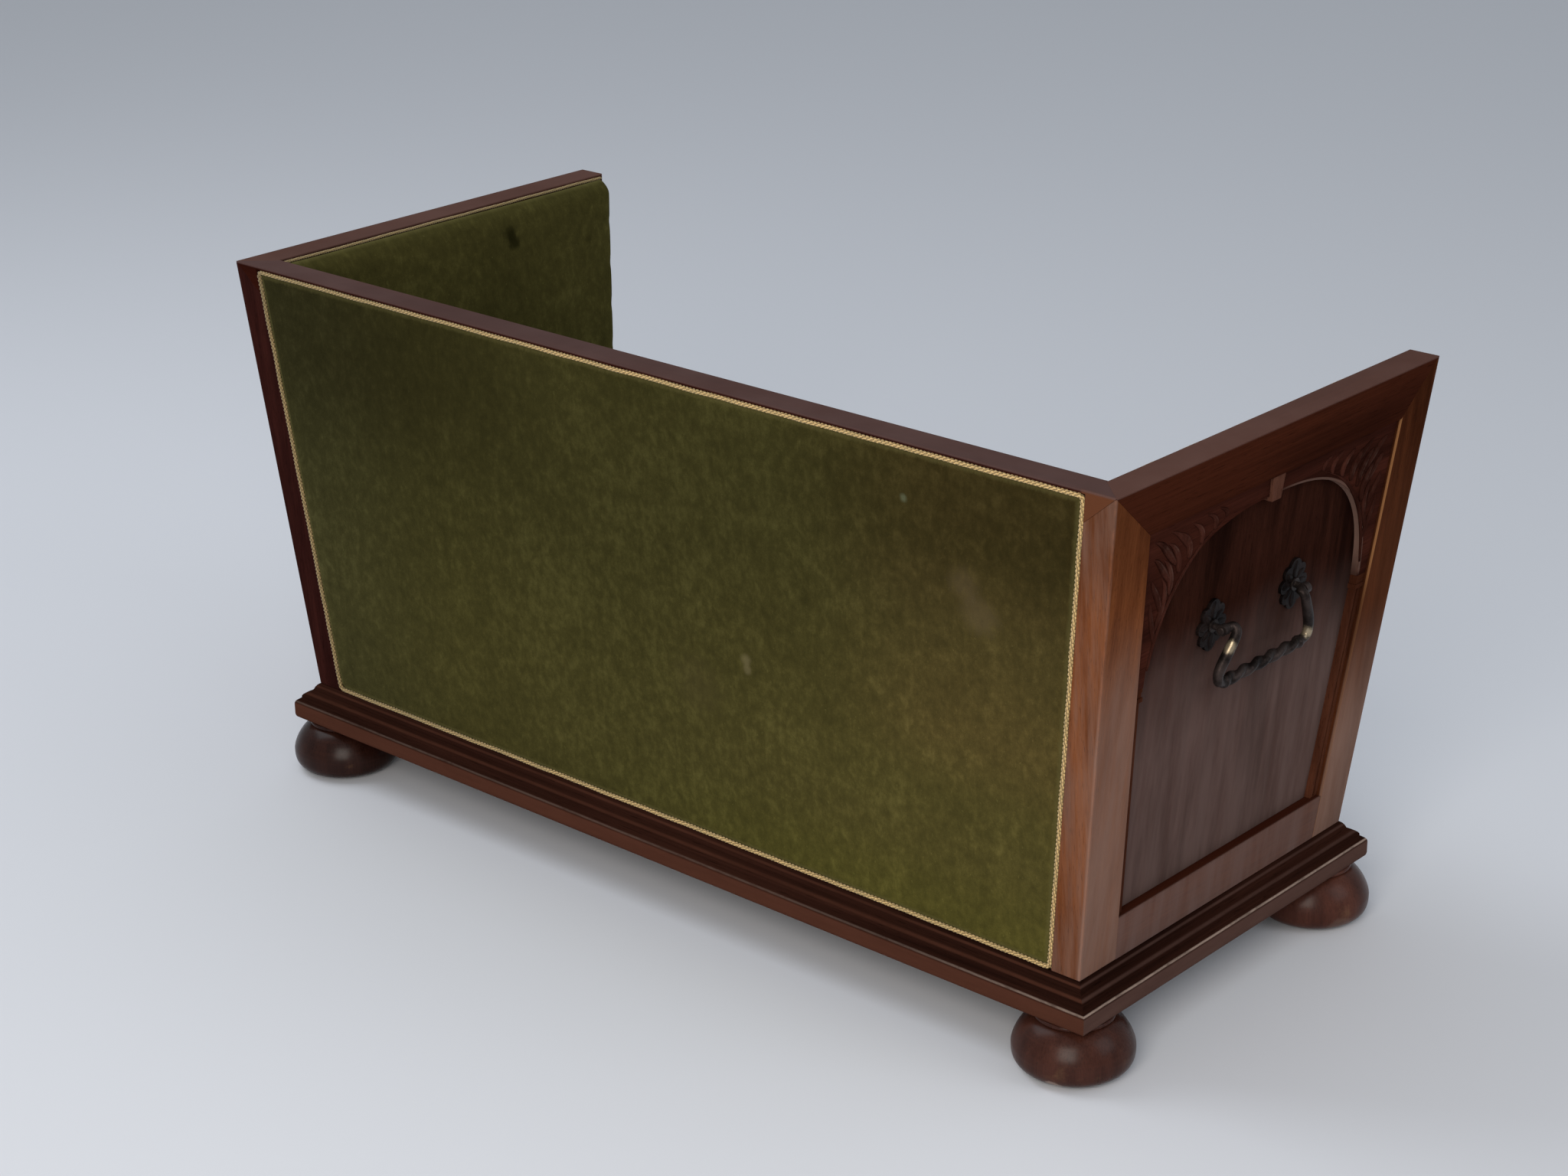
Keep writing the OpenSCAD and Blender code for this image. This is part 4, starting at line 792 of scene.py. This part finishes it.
# painted light and shade on the nap: brighter low down and near, browner at the near top, greyer at the far end
backPaintedLight = (
    (lambda f: f.step(f.z, 0.56, 0.2) * 0.75, (1.62, 1.58, 1.5)),
    (lambda f: f.step(f.x, 0.1, -0.6) * f.step(f.z, 0.66, 0.4), (1.5, 1.42, 1.4)),
    (lambda f: f.step(f.x, -0.2, -0.5) * f.step(f.z, 0.5, 0.66), (0.86, 0.7, 0.74)),
    (lambda f: f.step(f.x, -0.25, -0.5) * f.step(f.z, 0.64, 0.54) * f.step(f.z, 0.28, 0.4), (1.3, 1.15, 1.25)),
    (lambda f: f.step(f.x, 0.2, -0.3) * f.step(f.z, 0.25, 0.13), (1.1, 1.16, 0.95)),
    (lambda f: f.step(f.x, 0.1, 0.45) * f.step(f.z, 0.46, 0.62), (0.66, 0.64, 0.66)),
    (lambda f: f.step(f.x, 0.3, 0.66), (0.9, 0.95, 1.2)),
)
backVelour = velour("velour-back", "x", fringe=backFringe, paintedShading=backPaintedLight, spots=[
    ((-0.168, 0.2926, 0.388), 0.012, 0.4, velourLook["worn"]),
    ((-0.17, 0.2922, 0.376), 0.01, 0.35, velourLook["worn"]),
    ((-0.085, 0.29, 0.33), 0.06, 0.35, (0.04, 0.032, 0.013)),
    ((-0.423, 0.3118, 0.656), 0.008, 0.6, (0.12, 0.16, 0.09)),
    ((-0.505, 0.305, 0.575), 0.03, 0.16, velourLook["worn"]),
    ((-0.525, 0.304, 0.54), 0.034, 0.16, velourLook["worn"]),
])
cover = piece(backCoverMesh(backCover), backVelour, stands=("back_panel",))
print("back covered")

# painted shade: the gimp darker towards the far end of the sofa and beside the far post
gimpFinish = gimpCord("gimp", lambda f: f.step(f.x, -0.1, 0.6) * 0.45 + f.step(f.x, 0.652, 0.668) * 0.25)
innerGimpFinish = gimpCord("gimp-inner", lambda f: f.step(f.x, -0.5, 0.5) * 0.6)


def gimpMesh(name, line, closed, radius):
    points = evenly(line, radius * gimpSize["pitch"] / gimpSize["perTurn"], closed)
    turns = round(len(points) / gimpSize["perTurn"])
    bm = bmesh.new()
    for strand in (0, 1):
        side, path = Vector((0.3, 0.9, 0.2)), []
        for i, p in enumerate(points):
            way = (points[(i + 1) % len(points)] - p) if closed or i < len(points) - 1 else p - points[i - 1]
            way.normalize()
            side = (side - way * side.dot(way)).normalized()
            turn = tau * turns * i / len(points) + pi * strand
            wave = noise.noise_vector(p * gimpSize["waveTurns"]) * gimpSize["wave"]
            outwards = side * cos(turn) + way.cross(side) * sin(turn)
            path.append(p + wave + outwards * radius * gimpSize["offset"])
        sweep(bm, path, radius * gimpSize["strand"], gimpSize["sides"], closed, side)
    return meshOf(bm, name)


def backGimpLine(steps=8):
    low, high, round_ = gimpSize["low"], gimpSize["high"], gimpSize["corner"]
    line = []
    for cx, cz, first in ((1, high, 0), (-1, high, 1), (-1, low, 2), (1, low, 3)):
        for i in range(steps + 1):
            turn = pi / 2 * (first + i / steps)
            z = cz + (round_ * (sin(turn) - 1) if cz == high else round_ * (sin(turn) + 1))
            x = cx * (sideX(z) - gimpSize["inset"] - round_) + round_ * cos(turn)
            line.append(Vector((x, backY(z) - gimpSize["depth"], z)))
    return line


def gimpPiece(name, line, closed, radius, node, finish=gimpFinish):
    return piece(gimpMesh(name, line, closed, radius), finish, stands=(node,))


# the inner gimp runs below the arrises of arms and back, the seat's along the foot of its front border
innerGimp = {"z": 0.7184, "end": 0.005}
innerGimp["inset"] = caseSize["frame"] + caseSize["clear"] + gimpSize["inner"]
seatGimp = {"z": 0.2084, "inset": 0.0671}
gimpPiece("back_gimp_cord", backGimpLine(), True, gimpSize["back"], "back_gimp")
z, inset, thick = innerGimp["z"], innerGimp["inset"], gimpSize["inner"]
armX, inBack = sideX(z) - inset, backY(z) - inset
for side, way in hands:
    ends = [Vector((way * armX, y, z)) for y in (frontY(z) + innerGimp["end"], inBack + thick)]
    gimpPiece(f"arm_gimp_cord_{side}", ends, False, thick, f"arm_gimp_{side}", innerGimpFinish)
ends = [Vector((way * (armX - thick - caseSize["clear"]), inBack, z)) for way in (-1, 1)]
gimpPiece("back_pad_gimp_cord", ends, False, thick, "back_pad_gimp", innerGimpFinish)
z, thick = seatGimp["z"], gimpSize["back"]
ends = [Vector((way * (sideX(z) - seatGimp["inset"]), frontY(z) + thick, z)) for way in (-1, 1)]
gimpPiece("seat_gimp_cord", ends, False, thick, "seat_gimp")
print("gimp laid")


# pads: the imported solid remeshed, blown up a little as cloth, held to a cap and smoothed
padRecipe = {
    "arm": {"voxel": 0.006, "cap": 0.0025, "shrink": 0.0008, "fill": 0.85, "edged": True, "evened": 4},
    "back": {"voxel": 0.009, "cap": 0.004, "shrink": 0.0015, "fill": 0.8, "edged": True, "evened": 2},
    "seat": {"voxel": 0.01, "cap": 0.008, "shrink": 0.002, "fill": 0.75, "edged": False, "evened": 2},
    "pressure": 4, "frames": 20,
}


# draws the top edge out to its corner, up against the gimp, and lets the rest of the top fall away
padEdge = {"deep": 0.011, "wide": 0.012, "near": 0.006, "inset": 0.0402, "over": 0.0012,
           "fallFrom": 0.009, "fall": 0.44, "mostFall": 0.011, "fallDeep": 0.032}


def squared(made, box):
    roof = max(corner[2] for corner in box)
    for v in made.data.vertices:
        deep = roof - v.co.z
        rise = smoothstep((padEdge["deep"] - deep) / padEdge["deep"])
        side = sideX(v.co.z) - padEdge["inset"] - abs(v.co.x)
        behind = backY(v.co.z) - padEdge["inset"] - v.co.y
        gap = min(side, behind)
        v.co.z += (roof + padEdge["over"] - v.co.z) * rise * smoothstep((padEdge["wide"] - gap) / padEdge["near"])
        fall = min(padEdge["mostFall"], max(0, gap - padEdge["fallFrom"]) * padEdge["fall"])
        v.co.z -= fall * smoothstep((padEdge["fallDeep"] - deep) / padEdge["fallDeep"])
        if gap < padEdge["near"]:
            if side < behind:
                v.co.x += copysign(gap, v.co.x) * rise
            else:
                v.co.y += gap * rise


def stuffed(name, node, recipe, material):
    mesh = nodes[node].data.copy()
    mesh.name = name
    mesh.materials.clear()
    made = piece(mesh, material, stands=(node,))
    scene.view_layers[0].objects.active = made
    shaped(made, "REMESH", mode="VOXEL", voxel_size=recipe["voxel"], use_smooth_shade=True)
    applied(made)
    shaped(made, "SMOOTH", factor=0.5, iterations=recipe["evened"])
    applied(made)
    rest = [v.co.copy() for v in made.data.vertices]
    normals = [v.normal.copy() for v in made.data.vertices]
    for v, at, out in zip(made.data.vertices, rest, normals):
        v.co = at - out * recipe["shrink"]
    cloth = made.modifiers.new("cloth", "CLOTH")
    cloth.settings.use_pressure = True
    cloth.settings.uniform_pressure_force = padRecipe["pressure"]
    cloth.settings.effector_weights.gravity = 0
    for moment in range(1, padRecipe["frames"] + 1):
        scene.frame_set(moment)
    applied(made)
    scene.frame_set(1)
    for v, at, out in zip(made.data.vertices, rest, normals):
        moved = v.co - at
        if moved.length > recipe["cap"]:
            v.co = at + moved.normalized() * recipe["cap"]
        v.co += out * noise.noise(at * 7 + Vector((4, 1, 7))) * recipe["cap"] * 0.25
    if recipe["edged"]:
        squared(made, nodes[node].bound_box)
    shaped(made, "SUBSURF", levels=1, render_levels=1)
    applied(made)
    made.data.shade_smooth()
    print(name, len(made.data.polygons), "faces")
    return made


# puts the mesh that the modifiers make in place of the object's own
def applied(made):
    seen = made.evaluated_get(bpy.context.evaluated_depsgraph_get())
    mesh = bpy.data.meshes.new_from_object(seen)
    made.modifiers.clear()
    made.data = mesh


# how far a point of an arm pad lies from its top and front edges
def armFringe(f):
    return f.smaller(belowTop(f) - 0.004, behindFront(f) - 0.001)


# the arm pads' velour is the same cloth painted 1.35 times lighter, as painted light
armVelour = velour("velour-arm", "y", fringe=armFringe, paintedLight=1.35, spots=[
    ((0.639, -0.112, 0.684), 0.016, 0.9, (0.009, 0.0085, 0.0025)),
    ((0.637, -0.118, 0.67), 0.015, 0.85, (0.009, 0.0085, 0.0025)),
    ((0.635, -0.26, 0.645), 0.012, 0.4, (0.012, 0.011, 0.003)),
])
innerVelour = velour("velour-inner", "x")
seatVelour = velour("velour-seat", "both")
for node, recipe, material in (("arm_pad_left", "arm", armVelour), ("arm_pad_right", "arm", armVelour),
                               ("back_pad", "back", innerVelour), ("seat_pad", "seat", seatVelour)):
    stuffed(f"{node}_cover", node, padRecipe[recipe], material)
print("pads stuffed")


# carved leaves and chased plates: low leaves with an off-centre ridge, laid on a leaning face
leafShape = {
    "section": ((-1, 0), (-0.62, 0.62), (-0.18, 1), (0.1, 0.62), (0.5, 0.8), (1, 0)),
    "root": 0.06, "fullness": 0.72, "narrowest": 0.02, "flat": 0.35, "rise": (0.12, 0.92), "tip": (0.05, 6.05),
}


def curveThrough(points, steps):
    padded = [points[0]] + list(points) + [points[-1]]
    line = []
    for a, b, c, d in zip(padded, padded[1:], padded[2:], padded[3:]):
        for j in range(steps):
            t = j / steps
            bent = (a * 2 - b * 5 + c * 4 - d) * t * t + (b * 3 - a - c * 3 + d) * t ** 3
            line.append((b * 2 + (c - a) * t + bent) * 0.5)
    return line + [points[-1]]


def reliefLeaf(bm, points, width, height, place, steps=5, hook=1):
    line = curveThrough([Vector(p) for p in points], steps)
    rows, leaf = [], leafShape
    for i, p in enumerate(line):
        t = i / (len(line) - 1)
        way = (line[min(i + 1, len(line) - 1)] - line[max(i - 1, 0)]).normalized()
        across = Vector((-way.y, way.x)) * hook
        swell = max(sin(pi * lerp(leaf["root"], 1, t) ** leaf["fullness"]), leaf["narrowest"])
        bow = sin(pi * min(1, lerp(*leaf["rise"], t)))
        lift = height * lerp(leaf["flat"], 1, bow) * min(1, lerp(*leaf["tip"], 1 - t))
        spread = across * (width / 2 * swell)
        rows.append([bm.verts.new(place(p.x + spread.x * s, p.y + spread.y * s, lift * h)) for s, h in leaf["section"]])
    for a, b in zip(rows, rows[1:]):
        for j in range(len(a) - 1):
            bm.faces.new((a[j], a[j + 1], b[j + 1], b[j]))
        bm.faces.new((a[-1], a[0], b[0], b[-1]))
    bm.faces.new(rows[0])
    bm.faces.new(rows[-1])


# the spray in each spandrel: leaves spring from a stem along the arch and curl into the corner
openingTop = 0.661
sprayLeaves = [
    # points of a leaf from the corner, along the rail and down the post; width, height, all in millimetres
    (((26, 128), (40, 100), (42, 78), (36, 64)), 10, 3.4),
    (((30, 142), (24, 122), (18, 100), (17, 88)), 9, 3),
    (((38, 106), (30, 86), (20, 70), (15, 60)), 11, 3.4),
    (((50, 88), (52, 70), (46, 52), (36, 42)), 12, 3.8),
    (((52, 74), (38, 56), (26, 42), (17, 36)), 11, 3.4),
    (((66, 66), (64, 48), (54, 32), (42, 24)), 12, 3.8),
    (((60, 54), (44, 36), (30, 22), (16, 15)), 12, 3.6),
    (((84, 54), (84, 40), (76, 26), (62, 17)), 12, 3.8),
    (((86, 44), (74, 30), (60, 18), (46, 11)), 9.5, 3),
    (((106, 43), (107, 32), (100, 21), (86, 13)), 10.5, 3.4),
    (((130, 33), (132, 24), (126, 16), (112, 10)), 9, 3),
    (((152, 24), (152, 18), (146, 13), (136, 9)), 7, 2.4),
]
sprayStem = ((21, 172), (32, 134), (50, 98), (78, 66), (112, 42), (158, 22))


def carvingMesh(way, name):
    bm = bmesh.new()
    for end in (1, -1):
        def place(away, down, out, end=end):
            z = openingTop - down * 0.001
            edge = (backY(z) - caseSize["postBack"]) if end > 0 else (frontY(z) + caseSize["postFront"])
            face = sideX(z) - caseSize["boardSet"] - 0.0002
            return Vector((way * (face + out * 0.001), edge - end * away * 0.001, z))
        for points, width, height in sprayLeaves + [(sprayStem, 6, 2.8)]:
            reliefLeaf(bm, points, width, height, place, hook=end * way)
    return meshOf(bm, name)


# a painted highlight, pale in patches, where a leaf rises highest, with the polish a little rougher there
def paintedRidgeHighlight(f, colour, rough):
    ridgePatches = f.cloud(60, 3, 0.6)
    board = caseSize["boardSet"]
    ridge = f.step(behindSide(f), board - 0.0016, board - 0.004)
    rubbed = ridge * f.step(ridgePatches, 0.4, 0.62) * 0.2
    return f.blend(rubbed, colour, mahogany["sheen"]), rough + rubbed * 0.1


carvedWood = wood("mahogany-carving", "z", *mahogany["carving"], (paintedRidgeHighlight,), wear=0)
for side, way in hands:
    piece(carvingMesh(way, f"carved_leaves_{side}"), carvedWood, stands=(f"carvings_{side}",))
print("leaves carved")

# handles: pierced-looking plates, turned posts and a bail with swan necks and a barley twist
handleSize = {
    "pivot": Vector((0.691632, -0.004196, 0.498)), "half": 0.0825, "drop": 0.065, "tilt": 5.7012,
    "panel": 0.499887, "plate": 0.004, "pin": 0.003, "pinEnds": (-0.0056, 0.005),
    "pinHead": ((0, 0.0042), (0.0003, 0.0044), (0.0011, 0.0044), (0.0016, 0.0034)),
    "neck": ((0, -5.4, 0), (0.5, -9, 0), (4.5, -13.5, -0.02), (9, -13, 0.06), (8, -7, 0.25), (5, 2, 0.5),
             (2, 8.5, 0.74), (0.5, 6.5, 0.93)),
    "gripBack": 0.0015, "gripHalf": 0.0765, "gripSteps": 120, "pitch": 0.056,
    "strand": 0.005, "apart": 0.0027, "arm": 0.0055, "swell": 0.0009, "knuckle": 0.0022,
    "knuckleWide": 0.0045, "sides": 28,
}


def bailPath(size):
    def neck(way):
        points = [Vector((-out * 0.001, way * (size["half"] + past * 0.001), -down * size["drop"]))
                  for out, past, down in size["neck"]]
        return curveThrough(points + [Vector((size["gripBack"], way * size["gripHalf"], -size["drop"]))], 8)
    grip = [Vector((size["gripBack"], size["gripHalf"] * (1 - 2 * i / size["gripSteps"]), -size["drop"]))
            for i in range(1, size["gripSteps"])]
    return neck(1) + grip + neck(-1)[::-1]


def bailMesh(way, name):
    size = handleSize
    path = bailPath(size)
    bm = bmesh.new()

    # the arms swell a little, and the grip is a barley twist of two strands between two knuckles
    def thickness(i, turn):
        p = path[i]
        low = -p.z / size["drop"]
        past = abs(p.y) - size["gripHalf"]
        gripped = smoothstep(-(past + 0.004) / 0.008) if low > 0.98 else 0
        knuckle = exp(-((past + 0.001) / size["knuckleWide"]) ** 2) if low > 0.9 else 0
        swell = size["swell"] * sin(pi * min(1, low)) if not gripped else 0
        lay = turn - tau * p.y / size["pitch"]
        out, aside = size["apart"] * abs(cos(lay)), size["apart"] * sin(lay)
        twisted = out + sqrt(size["strand"] ** 2 - aside ** 2)
        return lerp(size["arm"] + swell, twisted, gripped) + knuckle * size["knuckle"]
    sweep(bm, path, thickness, size["sides"])
    inner, outer = (size["half"] + past for past in size["pinEnds"])
    for end in (-1, 1):
        sweep(bm, [Vector((0, end * y, 0)) for y in (inner, outer)], size["pin"], 20)
        head = [Vector((0, end * (outer + past), 0)) for past, _ in size["pinHead"]]
        sweep(bm, head, lambda i, turn: size["pinHead"][i][1], 20)
    bmesh.ops.scale(bm, vec=(-way, 1, 1), verts=bm.verts)
    bmesh.ops.translate(bm, vec=(way * size["pivot"].x, size["pivot"].y, size["pivot"].z), verts=bm.verts)
    return meshOf(bm, name)


# leaves chased on the backplates, from the boss outwards: angles, reach and width
plateLeaves = (((90, 270), 0.031, 0.014), ((0, 180), 0.0255, 0.011), ((45, 135, 225, 315), 0.0235, 0.0105))
plateRelief = {"root": 0.0065, "high": 0.0021}


def plateMesh(way, name):
    bm = bmesh.new()
    tilt = radians(handleSize["tilt"])
    up = Vector((way * sin(tilt), 0, cos(tilt)))
    out = Vector((way * cos(tilt), 0, -sin(tilt)))
    z = handleSize["panel"]
    for end in (-1, 1):
        middle = Vector((way * (sideX(z) - caseSize["panelSet"]), handleSize["pivot"].y + end * handleSize["half"], z))

        def place(across, high, lift, middle=middle):
            return middle + Vector((0, across, 0)) + up * high + out * (handleSize["plate"] - 0.0004 + lift)
        for angle, reach, width in ((angle, *size) for angles, *size in plateLeaves for angle in angles):
            turn = radians(angle)
            bend = 0.12 if angle % 90 else 0
            points = []
            for r in (0, 0.35, 0.7, 1):
                away, aim = lerp(plateRelief["root"], reach, r), turn + bend * (r - 0.5)
                points.append((cos(aim) * away, sin(aim) * away))
            reliefLeaf(bm, points, width, plateRelief["high"], place)
    return meshOf(bm, name)


ironTones = {"bail": ((0.013, 0.0098, 0.009), (0.046, 0.034, 0.031)),
             "plate": ((0.0032, 0.0019, 0.0017), (0.0125, 0.0078, 0.007))}
# spots rubbed bare on the bails, placed so that they are also painted highlights
rubbedHighlightSpots = [((0.701, 0.079, 0.48), 0.0105), ((0.6945, -0.0925, 0.443), 0.0105)]
for side, way in hands:
    rubbedHighlights = [((way * x, y, z), size) for (x, y, z), size in rubbedHighlightSpots]
    iron = ironwork(f"patinated-iron-{side}", *ironTones["bail"], rubbedHighlights=rubbedHighlights)
    black = ironwork(f"black-iron-{side}", *ironTones["plate"], metal=0.1)
    clad(black, f"handle_plates_{side}")
    clad(iron, f"handle_posts_{side}")
    bail = bailMesh(way, f"bail_forged_{side}")
    piece(bail, iron, body=f"handle_{side}", stands=(f"bail_{side}",))
    piece(plateMesh(way, f"chased_plates_{side}"), black)
easeEdges(0.0011, *bothSides("handle_plates"))
easeEdges(0.0007, *bothSides("handle_posts"))
print("handles made")


# camera, floor and light
eye = {"at": (-2.4283, 2.7443, 1.8023), "lens": 70.389, "yaw": 138.1055, "pitch": 21.6582, "roll": -0.6308}


def aimed(spec):
    yaw, pitch, roll = (radians(spec[key]) for key in ("yaw", "pitch", "roll"))
    aim = Matrix.Rotation(-yaw, 4, "Z") @ Matrix.Rotation(pi / 2 - pitch, 4, "X")
    return Matrix.Translation(spec["at"]) @ aim @ Matrix.Rotation(roll, 4, "Z")


camera = placed("camera", bpy.data.cameras.new("camera"))
camera.data.lens = eye["lens"]
camera.data.sensor_width = 36
camera.matrix_world = aimed(eye)
scene.camera = camera

floorLook = {"colour": (0.68, 0.7, 0.75), "half": 16}
ground = bmesh.new()
bmesh.ops.create_grid(ground, x_segments=1, y_segments=1, size=floorLook["half"])
floor = placed("floor", meshOf(ground, "floor"))
floor.data.materials.append(Finish("floor").skinned(Base_Color=floorLook["colour"], Roughness=0.75))

world = bpy.data.worlds.new("room")
world.use_nodes = True
sky = world.node_tree.nodes["Background"].inputs
sky["Color"].default_value = (0.9, 0.95, 1, 1)
sky["Strength"].default_value = 0.46
scene.world = world

# soft lights: place, target, size in metres, power in watts and colour
softLights = [
    ((-2.1, 3.6, 2.3), (-0.2, 0, 0.4), 2.2, 112, (1, 0.93, 0.84)),
    ((-3.8, -0.9, 2.4), (-0.5, 0, 0.4), 2.2, 26, (0.95, 0.97, 1)),
    ((2.4, 1, 3.6), (0, 0, 0.4), 2.6, 60, (0.93, 0.96, 1)),
]
for number, (at, to, size, power, colour) in enumerate(softLights):
    lamp = bpy.data.lights.new(f"soft{number}", "AREA")
    lamp.size, lamp.energy, lamp.color = size, power, colour
    held = placed(f"soft{number}", lamp)
    held.location = at
    held.rotation_euler = (Vector(at) - Vector(to)).to_track_quat("Z", "Y").to_euler()

scene.view_settings.view_transform = "Standard"
print("camera, floor and light set")
